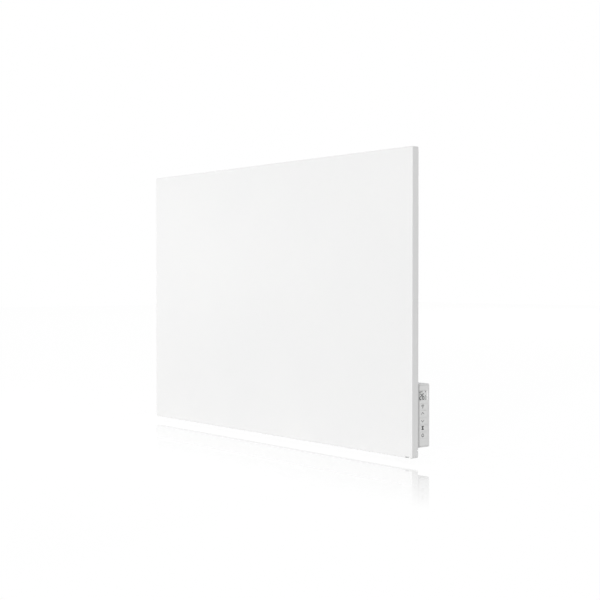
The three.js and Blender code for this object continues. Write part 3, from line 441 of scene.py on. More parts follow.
def galvanisedFinish():
    zinc = Finish("galvanised sheet", metallic=1.0)
    warp = zinc.add("VectorMath", {"operation": "SCALE"}, {
        0: zinc.noise(zincSheet["warp"], output="Color"), "Scale": zincSheet["warpBy"]})
    place = zinc.add("VectorMath", {"operation": "ADD"}, {0: zinc.place, 1: warp})
    shade = zinc.part(0, zinc.cells(zincSheet["spangle"], output="Color", place=place))
    rim = zinc.cells(zincSheet["spangle"], "DISTANCE_TO_EDGE", place=place)
    feather = zinc.noise(zincSheet["feather"], 2, 0.6, zinc.stretched(1, 1, 0.2))
    tone = shade * 0.7 + 0.3 * zinc.noise(zincSheet["cloud"])
    zinc.set(
        baseColor=zinc.mix(tone, zincSheet["dark"], zincSheet["light"]),
        roughness=zinc.grade(shade, *zincSheet["rough"]) + 0.08 * feather)
    return zinc.bumped(
        zinc.grade(rim, 0, 1, 0, 0.06) * 0.6 + 0.4 * feather, zincSheet["depth"], 0.5)


plating = {"cool": (0.66, 0.68, 0.70), "warm": (0.72, 0.70, 0.64), "cloud": 420, "fine": 5200,
           "rough": (0.24, 0.38), "depth": 0.004}


def platedFinish(name):
    plated = Finish(name, metallic=1.0)
    cloud = plated.noise(plating["cloud"])
    fine = plated.noise(plating["fine"])
    plated.set(
        baseColor=plated.mix(plated.spread(cloud), plating["cool"], plating["warm"]),
        roughness=plated.spread(fine, *plating["rough"]))
    return plated.bumped(fine, plating["depth"], 0.5)


def mouldedFinish(name, light, dark, roughness, grain, depth, specular=0.45):
    plastic = Finish(name, specularIORLevel=specular)
    cloud = plastic.noise(22)
    spark = plastic.noise(grain, 2, 0.55)
    pits = plastic.cells(grain * 0.55)
    plastic.set(
        baseColor=plastic.mix(plastic.spread(cloud), light, dark),
        roughness=plastic.spread(spark, roughness - 0.05, roughness + 0.06))
    return plastic.bumped(spark + 0.5 * pits, depth, 0.6)


strip = {"bright": (0.82, 0.47, 0.32), "tarnished": (0.52, 0.27, 0.17), "brush": 160, "tarnish": 26,
         "rough": (0.22, 0.42), "depth": 0.01}


def copperFinish():
    copper = Finish("copper strip", metallic=1.0)
    brush = copper.noise(strip["brush"], 3, 0.6, copper.stretched(8, 8, 0.3))
    tarnish = copper.grade(copper.noise(strip["tarnish"], 3), 0, 1, 0.45, 0.75)
    copper.set(
        baseColor=copper.mix(tarnish, strip["bright"], strip["tarnished"]),
        roughness=copper.spread(brush, *strip["rough"]))
    return copper.bumped(brush, strip["depth"], 0.5)


reflector = {"light": (0.88, 0.89, 0.90), "dark": (0.78, 0.79, 0.81), "crease": 48, "wrinkle": 95,
             "rough": (0.12, 0.3), "depth": 0.15}


def foilFinish():
    foil = Finish("reflector foil", metallic=1.0)
    creases = foil.cells(reflector["crease"], "DISTANCE_TO_EDGE")
    wrinkle = foil.noise(reflector["wrinkle"], 4, 0.6)
    foil.set(
        baseColor=foil.mix(wrinkle, reflector["light"], reflector["dark"]),
        roughness=foil.spread(wrinkle, *reflector["rough"]))
    return foil.bumped(
        foil.grade(creases, 0, 1, 0, 0.15) + 0.5 * wrinkle, reflector["depth"], 0.5)


carbon = {"base": (0.20, 0.19, 0.17), "print": (0.018, 0.018, 0.02), "stripes": 26, "gap": 0.28,
          "speck": 1500, "depth": 0.02}


def filmFinish():
    film = Finish("carbon printed film", specularIORLevel=0.5, coatRoughness=0.15)
    bars = film.stripes(carbon["stripes"], "Z") > carbon["gap"]
    speck = film.noise(carbon["speck"])
    film.set(
        baseColor=film.mix(bars, carbon["base"], carbon["print"]),
        roughness=0.34 + 0.25 * speck, coatWeight=0.3 + 0.4 * bars)
    return film.bumped(bars * 0.4 + speck * 0.2, carbon["depth"], 0.5)


mineral = {"dark": (0.42, 0.37, 0.24), "light": (0.72, 0.67, 0.50), "fibres": 700, "clump": 60,
           "binder": 210, "depth": 0.25}


def boardFinish():
    board = Finish("mineral fibre board")
    fibres = board.noise(mineral["fibres"], 5, 0.75, board.stretched(1, 1, 0.25))
    clump = board.noise(mineral["clump"], 3)
    binder = board.cells(mineral["binder"])
    board.set(
        baseColor=board.mix(0.6 * fibres + 0.4 * clump, mineral["dark"], mineral["light"]),
        roughness=0.85 + 0.12 * fibres)
    return board.bumped(fibres + 0.4 * binder, mineral["depth"], 0.8)


solderMask = {"mask": (0.020, 0.115, 0.045), "track": (0.045, 0.20, 0.075), "pad": (0.62, 0.63, 0.62),
              "tracks": 120, "pads": 300, "padSize": 0.26, "weave": 900, "depth": 0.05}


def circuitFinish():
    circuit = Finish("circuit board", specularIORLevel=0.5)
    tracks = circuit.add("TexBrick", {"offset": 0.37}, {
        "Vector": circuit.stretched(turn=(math.radians(90), 0, 0)), "Scale": solderMask["tracks"],
        "Mortar Size": 0.035, "Brick Width": 0.9, "Row Height": 0.32}, "Fac")
    pads = circuit.cells(solderMask["pads"]) < solderMask["padSize"]
    weave = circuit.noise(solderMask["weave"])
    green = circuit.mix(tracks, solderMask["mask"], solderMask["track"])
    circuit.set(
        baseColor=circuit.mix(pads * 0.8, green, solderMask["pad"]),
        metallic=pads * 0.8, roughness=0.28 + 0.2 * weave)
    return circuit.bumped(tracks * 0.6 + pads * 0.4 + 0.1 * weave, solderMask["depth"], 0.6)


wire = {"grain": 1300, "scuff": 160, "band": 55, "bandShare": 0.55, "depth": 0.02}


def leadFinish(name, sleeve, stripe=None):
    lead = Finish(name, specularIORLevel=0.5)
    grain = lead.noise(wire["grain"])
    scuff = lead.noise(wire["scuff"], 3)
    colour = lead.mix(lead.grade(scuff, 0, 0.6, 0.4, 0.8), sleeve, [0.7 * c + 0.05 for c in sleeve])
    if stripe:
        band = lead.stripes(wire["band"], "DIAGONAL") > wire["bandShare"]
        colour = lead.mix(band, colour, stripe)
    lead.set(baseColor=colour, roughness=0.38 + 0.2 * grain)
    return lead.bumped(grain + 0.5 * scuff, wire["depth"], 0.5)


def inkFinish(name, colour, roughness):
    ink = Finish(name, specularIORLevel=0.4)
    edge = ink.noise(2400)
    ink.set(
        baseColor=ink.mix(edge, colour, [1.25 * c + 0.004 for c in colour]),
        roughness=roughness + 0.12 * edge)
    return ink.bumped(edge, 0.004, 0.5)


window = {"tint": (0.96, 0.965, 0.965), "haze": 75, "scratch": 420, "rough": 0.02,
          "alpha": (0.04, 0.06), "depth": 0.002}


def lensFinish():
    lens = Finish("window lens", specularIORLevel=0.5, iOR=1.49)
    haze = lens.noise(window["haze"], 3)
    scratch = lens.noise(window["scratch"], 2, 0.5, lens.stretched(1, 1, 9))
    lens.set(
        baseColor=lens.mix(haze, window["tint"], [0.97 * c for c in window["tint"]]),
        roughness=window["rough"] + lens.grade(scratch, 0, 0.03, 0.55, 0.85),
        alpha=lens.spread(haze, *window["alpha"]))
    return lens.bumped(scratch, window["depth"], 0.3)


screen = {"dark": (0.87, 0.88, 0.87), "light": (0.90, 0.91, 0.90), "cloud": 90, "grid": 3800,
          "depth": 0.002}


def displayFinish():
    display = Finish("display glass", specularIORLevel=0.5)
    grid = display.noise(screen["grid"], 1)
    display.set(
        baseColor=display.mix(display.noise(screen["cloud"]), screen["dark"], screen["light"]),
        roughness=0.2 + 0.1 * grid)
    return display.bumped(grid, screen["depth"], 0.3)


# moulded finishes: light and dark colour, roughness, grain, depth of the grain in mm, specular
finishes = {
    "powderCoat": powderCoatFinish(),
    "galvanised": galvanisedFinish(),
    "plated": platedFinish("zinc plated screw"),
    "housing": mouldedFinish(
        "moulded housing", (0.888, 0.888, 0.884), (0.876, 0.877, 0.874), 0.52, 2600, 0.02),
    "key": mouldedFinish(
        "key plastic", (0.884, 0.884, 0.88), (0.872, 0.872, 0.869), 0.48, 3400, 0.012),
    "dark": mouldedFinish(
        "dark plastic", (0.022, 0.022, 0.024), (0.030, 0.030, 0.032), 0.48, 2200, 0.03),
    "terminal": mouldedFinish(
        "terminal plastic", (0.06, 0.27, 0.12), (0.05, 0.23, 0.10), 0.5, 1800, 0.03),
    "rubber": mouldedFinish(
        "grommet rubber", (0.018, 0.018, 0.018), (0.03, 0.03, 0.029), 0.82, 1500, 0.04, 0.3),
    "status": mouldedFinish(
        "status lens", (0.50, 0.505, 0.51), (0.46, 0.465, 0.47), 0.16, 900, 0.004, 0.6),
    "shield": platedFinish("tinned shield"),
    "copper": copperFinish(),
    "foil": foilFinish(),
    "film": filmFinish(),
    "board": boardFinish(),
    "circuit": circuitFinish(),
    "brown": leadFinish("brown lead", (0.16, 0.065, 0.025)),
    "blue": leadFinish("blue lead", (0.03, 0.11, 0.38)),
    "earth": leadFinish("earth lead", (0.06, 0.26, 0.05), (0.72, 0.60, 0.05)),
    "ink": inkFinish("key ink", (0.024, 0.025, 0.027), 0.5),
    "segment": inkFinish("display segment", (0.012, 0.013, 0.014), 0.5),
    "ghost": inkFinish("display ghost segment", (0.66, 0.67, 0.665), 0.3),
    "clear": lensFinish(),
    "display": displayFinish(),
}
print("finishes mixed")


# Front tray: one sheet folded back on four sides, with lips that the back plate is screwed to

tray = {"sheet": 1.2, "corner": 2.8, "edge": 1.2, "fold": 1.9, "lip": 18, "slit": 0.8, "slitLength": 27,
        "slitInset": 0.58, "slitDeep": 1.3, "screwHole": 1.8, "holeDeep": 3, "lensGap": 0.3}
lensNub = {"wide": 9, "high": 2.2, "deep": 6, "skin": 1.5, "softEdge": 0.2, "flangeCorner": 0.6}
backScrews = nodesNamed("back_screw_")


def foldTray():
    low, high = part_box("front_panel")
    piece = addBlock("frontTray", low, high)
    lip = tray["lip"] * mm
    with Shaping(piece) as shaping:
        shaping.faces(lambda middle, normal: normal.y > 0.9)
        shaping.remove()
        shaping.sides(1)
        shaping.bevel(tray["corner"] * mm, 6)
        shaping.rim(1, low.y)
        shaping.bevel(tray["edge"] * mm, 5)
        shaping.rim(1, high.y)
        shaping.extrude()
        shaping.resize((1 - lip / high.x, 1, 1 - lip / high.z), (0, high.y, 0))
        within = (high.x - lip / 2, high.z - lip / 2)
        shaping.edges(lambda a, b: level(1, high.y, a, b) and all(
            abs(p.x) > within[0] or abs(p.z) > within[1] for p in (a, b)), 30)
        shaping.bevel(tray["fold"] * mm, 4)
    thickened(piece, tray["sheet"])
    cutters = [addRod("hole", tray["screwHole"] * mm, 1, middleOf(node),
                      high.y - tray["holeDeep"] * mm, high.y + past, 24) for node in backScrews]
    wide, long = tray["slit"] / 2 * mm, tray["slitLength"] / 2 * mm
    inset = tray["lip"] * tray["slitInset"] * mm
    for sideX, sideZ in ((-1, -1), (-1, 1), (1, -1), (1, 1)):
        slit = addBlock(
            "slit", (-wide, high.y - tray["slitDeep"] * mm, -long), (wide, high.y + past, long))
        slit.rotation_euler = (0, math.radians(45 * sideX * sideZ), 0)
        slit.location = (sideX * (high.x - inset), 0, sideZ * (high.z - inset))
        cutters.append(settle(slit))
    combined(piece, cutters)
    lens = middleOf("status_lens")
    reach = (lensNub["wide"] / 2 + tray["lensGap"]) * mm
    combined(piece, [addBlock(
        "notch", (lens.x - reach, low.y - past, low.z - past),
        (lens.x + reach, low.y + (lensNub["deep"] + tray["lensGap"]) * mm,
         low.z + (lensNub["high"] + tray["lensGap"]) * mm))])
    smoothed(piece)
    fitted(piece, "heater", "powder_coat", "powderCoat", "front_panel")


foldTray()
print("front tray folded")


# Status lens, set flush in the lower fold

def mouldStatusLens():
    low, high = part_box("status_lens")
    middleX = middleOf("status_lens").x
    wide, deep, tall, skin = [
        size * mm for size in (lensNub["wide"] / 2, lensNub["deep"], lensNub["high"], lensNub["skin"])]
    nub = addBlock(
        "statusLens", (middleX - wide, low.y, low.z), (middleX + wide, low.y + deep, low.z + tall))
    with Shaping(nub) as shaping:
        shaping.edges(lambda a, b: level(1, low.y, a, b) and level(2, low.z, a, b))
        shaping.bevel(tray["edge"] * mm, 5)
        shaping.edges(lambda a, b: abs(abs((a.x + b.x) / 2 - middleX) - wide) < tiny, 30)
        shaping.bevel(lensNub["softEdge"] * mm, 2)
    flange = roundedBlock(
        "flange", (low.x, low.y + skin, low.z + skin), high, 1, lensNub["flangeCorner"] * mm, 2)
    combined(nub, [flange], "UNION")
    smoothed(nub)
    fitted(nub, "heater", "dark_plastic", "status", "status_lens")


mouldStatusLens()
print("status lens set")


# Back plate: thin sheet with three pressed beads

plate = {"sheet": 1.06, "corner": 4, "bead": 14, "beadHalf": 240, "rise": 2, "slope": 1.6,
         "beads": (-130, 0, 130), "screwHole": 1.8, "rivetHole": 2.3, "soften": 0.9}


def pressBackPlate():
    low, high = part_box("back_plate")
    back = high.y - plate["rise"] * mm
    front = back - plate["sheet"] * mm
    half = plate["beadHalf"] * mm
    outline = addPlane("outline", (0, back, 0), high.x - low.x, high.z - low.z)
    with Shaping(outline) as shaping:
        shaping.corners(lambda at: True)
        shaping.bevel(plate["corner"] * mm, 5, "VERTICES")
        shaping.faces(lambda middle, normal: True)
        shaping.remove("ONLY_FACE")
    forms = [outline]
    for z in plate["beads"]:
        bead = addPlane("bead", (0, back, z * mm), 2 * half, plate["bead"] * mm)
        with Shaping(bead) as shaping:
            shaping.corners(lambda at: True)
            shaping.bevel(0.4999 * plate["bead"] * mm, 8, "VERTICES")
        forms.append(bead)
    piece = joined("backPlate", forms)
    with Shaping(piece) as shaping:
        shaping.pick("EDGE", lambda edge: len(edge.link_faces) < 2)
        bpy.ops.mesh.fill(use_beauty=True)
        shaping.pick("FACE", lambda face: len(face.verts) > 8)
        shaping.extrude(y=plate["rise"] * mm)
        slope = plate["slope"] * mm
        for z in plate["beads"]:
            shaping.corners(lambda p: p.y > back + tiny and abs(p.z - z * mm) < plate["bead"] * mm)
            shaping.resize(
                (1 - slope / half, 1, 1 - slope / (plate["bead"] / 2 * mm)), (0, back, z * mm))
        shaping.edges(lambda a, b: abs(a.y - b.y) < tiny and abs(a.x) < half + tiny, 20)
        shaping.bevel(plate["soften"] * mm, 3)
        shaping.turnOutwards()
    thickened(piece, plate["sheet"])
    holes = [(node, plate["screwHole"]) for node in backScrews]
    holes += [(node, plate["rivetHole"]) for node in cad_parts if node.startswith("rivet_")]
    combined(piece, [addRod("hole", radius * mm, 1, middleOf(node), front - past, back + past, 24)
                     for node, radius in holes])
    smoothed(piece)
    fitted(piece, "heater", "galvanised", "galvanised", "back_plate")


pressBackPlate()
print("back plate pressed")


# Wall brackets: hat sections with a keyhole in the crown

hat = {"sheet": 1.5, "bend": 2.25, "crown": 44, "foot": 17, "height": 50, "cut": 5.66, "hole": 5,
       "slot": 2.75, "drop": 6, "rise": 13, "rivetHole": 2.3, "deburr": 0.2, "deburrX": 6, "deburrZ": 14}


def foldBracket(name, node):
    low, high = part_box(node)
    at = (low + high) / 2
    sheet = hat["sheet"] * mm
    top, floor = high.y - sheet / 2, low.y + sheet / 2
    legX = (hat["crown"] - hat["sheet"]) / 2 * mm
    endX = (hat["crown"] / 2 + hat["foot"]) * mm
    piece = addPlane(name, (at.x, top, at.z), 2 * legX, hat["height"] * mm)
    with Shaping(piece) as shaping:
        shaping.sides(2)
        shaping.extrude(y=floor - top)
        shaping.extrude()
        shaping.resize((endX / legX, 1, 1), (at.x, floor, at.z))
        shaping.edges(lambda a, b: along(2, a, b) and abs(abs(a.x - at.x) - legX) < tiny)
        shaping.bevel(hat["bend"] * mm, 5)
        shaping.corners(lambda p: abs(abs(p.x - at.x) - endX) < tiny)
        shaping.bevel(hat["cut"] * mm, 1, "VERTICES")
        shaping.turnOutwards()
    thickened(piece, hat["sheet"], 0)
    near, far = top - 3 * mm, high.y + past
    holeZ, slotZ = at.z - hat["drop"] * mm, at.z + (hat["rise"] - hat["drop"]) * mm
    slot = hat["slot"] * mm
    keyhole = addRod("keyhole", hat["hole"] * mm, 1, (at.x, 0, holeZ), near, far, 48)
    combined(keyhole, [
        addRod("slotEnd", slot, 1, (at.x, 0, slotZ), near, far),
        addBlock("slot", (at.x - slot, near, holeZ), (at.x + slot, far, slotZ))], "UNION")
    rivetX = (hat["crown"] + hat["foot"]) / 2 * mm
    combined(piece, [keyhole] + [
        addRod("hole", hat["rivetHole"] * mm, 1, (at.x + side * rivetX, 0, at.z), low.y - past,
               low.y + 2 * past, 24) for side in (-1, 1)])
    with Shaping(piece) as shaping:
        shaping.edges(lambda a, b: level(1, high.y, a, b) and all(
            abs(p.x - at.x) < hat["deburrX"] * mm and abs(p.z - at.z) < hat["deburrZ"] * mm
            for p in (a, b)), 60)
        shaping.bevel(hat["deburr"] * mm, 2)
    return smoothed(piece)


fitSet(foldBracket, nodesNamed("wall_bracket_"), "galvanised", "galvanised")
print("wall brackets folded")


# Rivets and screws, each modelled once

rivet = {"head": 4, "height": 1.4, "dome": 1.15, "hole": 1.15, "sunk": 0.5, "shank": 2, "bulb": 2.9,
         "bulbHeight": 1.2, "bulbRound": 0.4}
screw = {"head": 3.2, "height": 2, "crown": 1.2, "recess": 1.75, "wing": 0.62, "depth": 1.25,
         "taper": 0.45, "shank": 1.5, "pitch": 0.8, "crest": 0.85}


def setRivet(name, node):
    low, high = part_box(node)
    at = (low + high) / 2
    seat = high.y - rivet["height"] * mm
    head = addRod(name, rivet["head"] * mm, 1, at, seat, high.y)
    with Shaping(head) as shaping:
        shaping.rim(1, high.y)
        shaping.bevel(rivet["dome"] * mm, 4)
        shaping.faces(lambda middle, normal: level(1, high.y, middle))
        shaping.inset((rivet["head"] - rivet["dome"] - rivet["hole"]) * mm)
        shaping.extrude(y=-rivet["sunk"] * mm)
        shaping.faces(lambda middle, normal: level(1, seat, middle))
        shaping.inset((rivet["head"] - rivet["shank"]) * mm)
        shaping.extrude(y=low.y + rivet["bulbHeight"] * mm - seat)
        shaping.extrude()
        swell = rivet["bulb"] / rivet["shank"]
        shaping.resize((swell, 1, swell), (at.x, low.y, at.z))
        shaping.extrude(y=-rivet["bulbHeight"] * mm)
        shaping.bevel(rivet["bulbRound"] * mm, 2)
    return smoothed(head, 40)


def turnScrew(name, node):
    low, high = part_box(node)
    at = (low + high) / 2
    seat = high.y - screw["height"] * mm
    piece = addRod(name, screw["head"] * mm, 1, at, seat, high.y, 36)
    with Shaping(piece) as shaping:
        shaping.rim(1, high.y)
        shaping.bevel(screw["crown"] * mm, 5)
        shaping.faces(lambda middle, normal: level(1, seat, middle))
        shaping.inset(screw["head"] * mm - screw["shank"] * mm)
        pitch, crest = screw["pitch"] * mm, screw["crest"]
        for turn in range(int((seat - low.y) / pitch)):  # each turn of the thread has a crest
            for shrink, share in ((crest, 0.3), (1 / crest, 0.3), (1, 0.4)):
                shaping.extrude(y=-pitch * share)
                shaping.resize((shrink, 1, shrink), (at.x, seat, at.z))
    long, wide, floor = screw["recess"] * mm, screw["wing"] / 2 * mm, high.y - screw["depth"] * mm
    recess, wing = [
        addBlock(part, (at.x - x, floor, at.z - z), (at.x + x, high.y + mm, at.z + z))
        for part, x, z in (("recess", long, wide), ("wing", wide, long))]
    combined(recess, [wing], "UNION")
    with Shaping(recess) as shaping:
        shaping.corners(lambda p: p.y < high.y)
        shaping.resize((screw["taper"], 1, screw["taper"]), (at.x, high.y, at.z))
    combined(piece, [recess])
    return smoothed(piece, 40)


coverScrews = nodesNamed("cover_screw_")
fitSet(setRivet, nodesNamed("rivet_"), "zinc_steel", "plated")
for nodes in (backScrews, coverScrews, nodesNamed("base_screw_"), ["earth_screw"]):
    fitSet(turnScrew, nodes, "zinc_steel", "plated")
print("rivets and screws set")


# Control cover: a moulded shell open towards the panel

cover = {"wall": 2, "corner": 2.6, "edge": 1.2, "boss": 4.8, "bore": 1.8, "well": 3.5, "wellDepth": 3,
         "ventWide": 2.4, "ventLong": 18, "ventDeep": 3, "ventPitch": 5, "vents": 5, "ventFrom": 23.5,
         "ventShift": 2, "ventClear": 14, "gap": 0.3, "soften": 0.2, "glandHole": 6.3, "openCorner": 1.8}
bezel = {"rim": 3.9, "endRim": 2.7, "thick": 2, "corner": 1.5, "edge": 0.3, "windowCorner": 1.2,
         "ledge": 1, "lensThick": 0.9, "gap": 0.3, "keyCorner": 2.15, "soften": 0.12, "lip": 1.2,
         "lipThick": 1.4, "pocketDeep": 3, "pocketRoom": 0.8, "cutDeep": 4}


def faceWindow():  # the opening for the bezel: low and high y, low and high z
    low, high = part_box("control_cover")
    side, end = (bezel["rim"] - bezel["gap"]) * mm, (bezel["endRim"] - bezel["gap"]) * mm
    return low.y + side, high.y - side, low.z + end, high.z - end


def mouldCover():
    low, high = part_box("control_cover")
    glandAt = middleOf("cable_gland")
    piece = addBlock("controlCover", low, high)
    with Shaping(piece) as shaping:
        shaping.faces(lambda middle, normal: normal.y < -0.9)
        shaping.remove()
        shaping.sides(1)
        shaping.bevel(cover["corner"] * mm, 7)
        shaping.rim(1, high.y)
        shaping.bevel(cover["edge"] * mm, 5)
    thickened(piece, cover["wall"])
    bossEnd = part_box("control_base")[1].y + cover["gap"] * mm
    for form, start, end, sides, operation in (
            ("boss", bossEnd, high.y - cover["wall"] / 2 * mm, 40, "UNION"),
            ("well", high.y - cover["wellDepth"] * mm, high.y + mm, 40, "DIFFERENCE"),
            ("bore", bossEnd - mm, high.y + mm, 24, "DIFFERENCE")):
        combined(piece, [addRod(form, cover[form] * mm, 1, middleOf(node), start, end, sides)
                         for node in coverScrews], operation)
    yLow, yHigh, zLow, zHigh = faceWindow()
    combined(piece, [roundedBlock(
        "opening", (high.x - bezel["cutDeep"] * mm, yLow, zLow), (high.x + mm, yHigh, zHigh), 0,
        cover["openCorner"] * mm, 4)])
    vents = []
    y = (low.y + high.y) / 2 + cover["ventShift"] * mm
    wide, long, deep = cover["ventWide"] / 2 * mm, cover["ventLong"] / 2 * mm, cover["ventDeep"] * mm
    for i in range(cover["vents"]):
        x = high.x - (cover["ventFrom"] + i * cover["ventPitch"]) * mm
        for z in [high.z] if x < glandAt.x + cover["ventClear"] * mm else [high.z, low.z]:
            vents.append(roundedBlock(
                "vent", (x - wide, y - long, z - deep), (x + wide, y + long, z + deep), 2,
                0.4999 * cover["ventWide"] * mm, 5))
    vents.append(addRod(
        "glandHole", cover["glandHole"] * mm, 2, glandAt, low.z - mm, low.z + 4 * mm, 40))
    combined(piece, vents)
    with Shaping(piece) as shaping:
        planes = ((0, high.x), (1, high.y), (2, low.z), (2, high.z))
        shaping.edges(lambda a, b: any(level(axis, place, a, b) for axis, place in planes), 40)
        shaping.bevel(cover["soften"] * mm, 2)
    smoothed(piece)
    fitted(piece, "heater", "housing", "housing", "control_cover")


mouldCover()
print("control cover moulded")


# Bezel with its display window and key openings

keyNodes = ["key_wifi", "key_up", "key_down", "key_timer", "key_power"]
keyCap = {"wide": 20.7, "tall": 12.3, "gap": 0.15, "corner": 2, "edge": 0.18, "dish": 0.35,
          "dishWide": 8.7, "dishTall": 5.1, "ballDepth": 20, "skirt": 1, "stem": 1.6}


def mouldBezel():
    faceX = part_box("control_cover")[1].x
    yLow, yHigh, zLow, zHigh = faceWindow()
    gap, corner, thick = bezel["gap"] * mm, bezel["corner"] * mm, bezel["thick"] * mm
    yLow, yHigh, zLow, zHigh = yLow + gap, yHigh - gap, zLow + gap, zHigh - gap
    piece = roundedBlock(
        "controlBezel", (faceX - thick, yLow, zLow), (faceX, yHigh, zHigh), 0, corner, 5,
        bezel["edge"] * mm, 3)
    lipFront = faceX - (cover["wall"] + cover["gap"]) * mm
    lip, lipThick = bezel["lip"] * mm, bezel["lipThick"] * mm
    back = roundedBlock(
        "lip", (lipFront - lipThick, yLow - lip, zLow), (lipFront, yHigh + lip, zHigh), 0, corner, 4)
    core = roundedBlock(
        "core", (lipFront - lipThick / 2, yLow, zLow), (faceX - thick / 2, yHigh, zHigh), 0, corner, 5)
    combined(piece, [core, back], "UNION")
    keyLow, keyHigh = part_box("key_up")
    room = bezel["pocketRoom"] * mm
    combined(piece, [roundedBlock(
        "pocket", (lipFront - bezel["pocketDeep"] * mm, keyLow.y - room, zLow + mm),
        (faceX - thick, keyHigh.y + room, zHigh - mm), 0, mm, 3)])
    lensLow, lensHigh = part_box("display_lens")
    for form, deep, ledge in (
            ("recess", bezel["lensThick"] + bezel["gap"], 0),
            ("view", bezel["cutDeep"], bezel["ledge"] * mm)):
        combined(piece, [roundedBlock(
            form, (faceX - deep * mm, lensLow.y - gap + ledge, lensLow.z - gap + ledge),
            (faceX + mm, lensHigh.y + gap - ledge, lensHigh.z + gap - ledge), 0,
            bezel["windowCorner"] * mm, 5)])
    wide, tall = [(keyCap[side] / 2 + keyCap["gap"]) * mm for side in ("wide", "tall")]
    combined(piece, [roundedBlock(
        "opening", (faceX - bezel["cutDeep"] * mm, at.y - wide, at.z - tall),
        (faceX + mm, at.y + wide, at.z + tall), 0, bezel["keyCorner"] * mm, 6)
        for at in [middleOf(node) for node in keyNodes]])
    with Shaping(piece) as shaping:
        shaping.rim(0, faceX, 60)
        shaping.bevel(bezel["soften"] * mm, 2)
    smoothed(piece)
    fitted(piece, "heater", "housing", "housing", "control_bezel")


mouldBezel()
print("control bezel moulded")


# Keys, each with its printed symbol

symbol = {"stroke": 1.1, "fine": 0.85, "thick": 0.05, "lift": 0.015, "aside": -2,
          "raise": {"key_wifi": 0.7, "key_up": 1.2, "key_timer": 0.8, "key_power": 0.3}}
arrow = {"wide": 3.8, "rise": 3.7, "stroke": 1.15}
glassMark = {"wide": 6.8, "bulb": 2.8, "waist": 0.36, "cap": 0.95, "neck": 0.86}
waves = {"radii": (2.3, 4.1, 5.9), "spread": 44, "dot": 0.48, "dotStroke": 0.92, "drop": 3}
powerSign = {"radius": 2.9, "open": 36, "barUp": 2.6, "bar": 3.4}


def mouldKey(name, node):
    low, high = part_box(node)
    at = (low + high) / 2
    wide, tall, corner = keyCap["wide"] / 2 * mm, keyCap["tall"] / 2 * mm, keyCap["corner"] * mm
    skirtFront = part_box("control_cover")[1].x - (bezel["thick"] + bezel["gap"]) * mm
    skirtBack = skirtFront - keyCap["skirt"] * mm
    cap = roundedBlock(
        name, (skirtBack, at.y - wide, at.z - tall), (high.x, at.y + wide, at.z + tall), 0, corner, 6,
        keyCap["edge"] * mm, 4)
    bpy.ops.mesh.primitive_uv_sphere_add(segments=96, ring_count=128, radius=1)
    ball = bpy.context.object  # presses the dish into the cap
    depth, dish = keyCap["ballDepth"] * mm, keyCap["dish"] * mm
    halves = [math.sqrt((keyCap[side] * mm) ** 2 / (2 * dish) * depth)
              for side in ("dishWide", "dishTall")]
    ball.rotation_euler = (0, math.radians(90), 0)
    settle(ball)
    ball.scale = (depth, *halves)
    ball.location = (high.x - dish + depth, at.y, at.z)
    settle(ball)
    combined(cap, [ball])
    skirt = roundedBlock(
        "skirt", (skirtBack, low.y, low.z), (skirtFront, high.y, high.z), 0, corner, 4)
    stem = addRod("stem", keyCap["stem"] * mm, 0, at, low.x, skirtBack + mm / 2, 24)
    combined(cap, [skirt, stem], "UNION")
    return smoothed(cap, 25)


def bar(y, z, width, height):
    return addBlock("bar", (0, (y - width / 2) * mm, (z - height / 2) * mm),
                    (symbol["thick"] * mm, (y + width / 2) * mm, (z + height / 2) * mm))


def arc(radius, start, end, steps=16, stroke=symbol["stroke"]):  # round the middle, in degrees from up
    thick = symbol["thick"] * mm
    piece = addPlane("arc", (thick / 2, 0, radius * mm), thick, stroke * mm, 90)
    piece.rotation_euler = (math.radians(-start), 0, 0)
    settle(piece)
    with Shaping(piece) as shaping:
        shaping.everything()
        bpy.ops.mesh.spin(steps=steps, angle=math.radians(end - start), center=(0, 0, 0), axis=(1, 0, 0))
        shaping.closeSeams()
    return piece


def chevron(upwards):
    width, rise = arrow["wide"], arrow["rise"] * (1 if upwards else -1)
    stroke = symbol["stroke"] * arrow["stroke"]
    start = addBlock("chevron", (0, -width * mm, (-rise / 2 - stroke / 2) * mm),
                     (symbol["thick"] * mm, (-width + 0.01) * mm, (-rise / 2 + stroke / 2) * mm))
    with Shaping(start) as shaping:
        shaping.faces(lambda middle, normal: normal.y > 0.9)
        shaping.extrude(y=(width - 0.01) * mm, z=rise * mm)
        shaping.extrude(y=(width - 0.01) * mm, z=-rise * mm)
    return start


def hourglass():
    wide, bulb, waist, cap, neck = glassMark.values()
    start = addBlock("hourglass", (0, -wide / 2 * mm, bulb * mm),
                     (symbol["thick"] * mm, wide / 2 * mm, (bulb + cap) * mm))
    with Shaping(start) as shaping:
        shaping.faces(lambda middle, normal: normal.z < -0.9)
        for drop, widen in ((0, neck), (bulb, waist), (bulb, 1 / waist), (0, 1 / neck), (cap, 1)):
            shaping.extrude(z=-drop * mm)
            shaping.resize((1, widen, 1))
        shaping.closeSeams()
    return start


def wirelessMark():
    parts = [arc(radius, -waves["spread"], waves["spread"], stroke=symbol["fine"])
             for radius in waves["radii"]]
    parts.append(arc(waves["dot"], 0, 360, stroke=waves["dotStroke"]))
    mark = joined("mark", parts)
    mark.location = (0, 0, -waves["drop"] * mm)
    return settle(mark)


def powerMark():
    ring = arc(powerSign["radius"], powerSign["open"], 360 - powerSign["open"], 30)
    return joined("mark", [ring, bar(0, powerSign["barUp"], symbol["stroke"], powerSign["bar"])])


symbols = {
    "key_wifi": wirelessMark, "key_up": lambda: chevron(True), "key_down": lambda: chevron(False),
    "key_timer": hourglass, "key_power": powerMark,
}


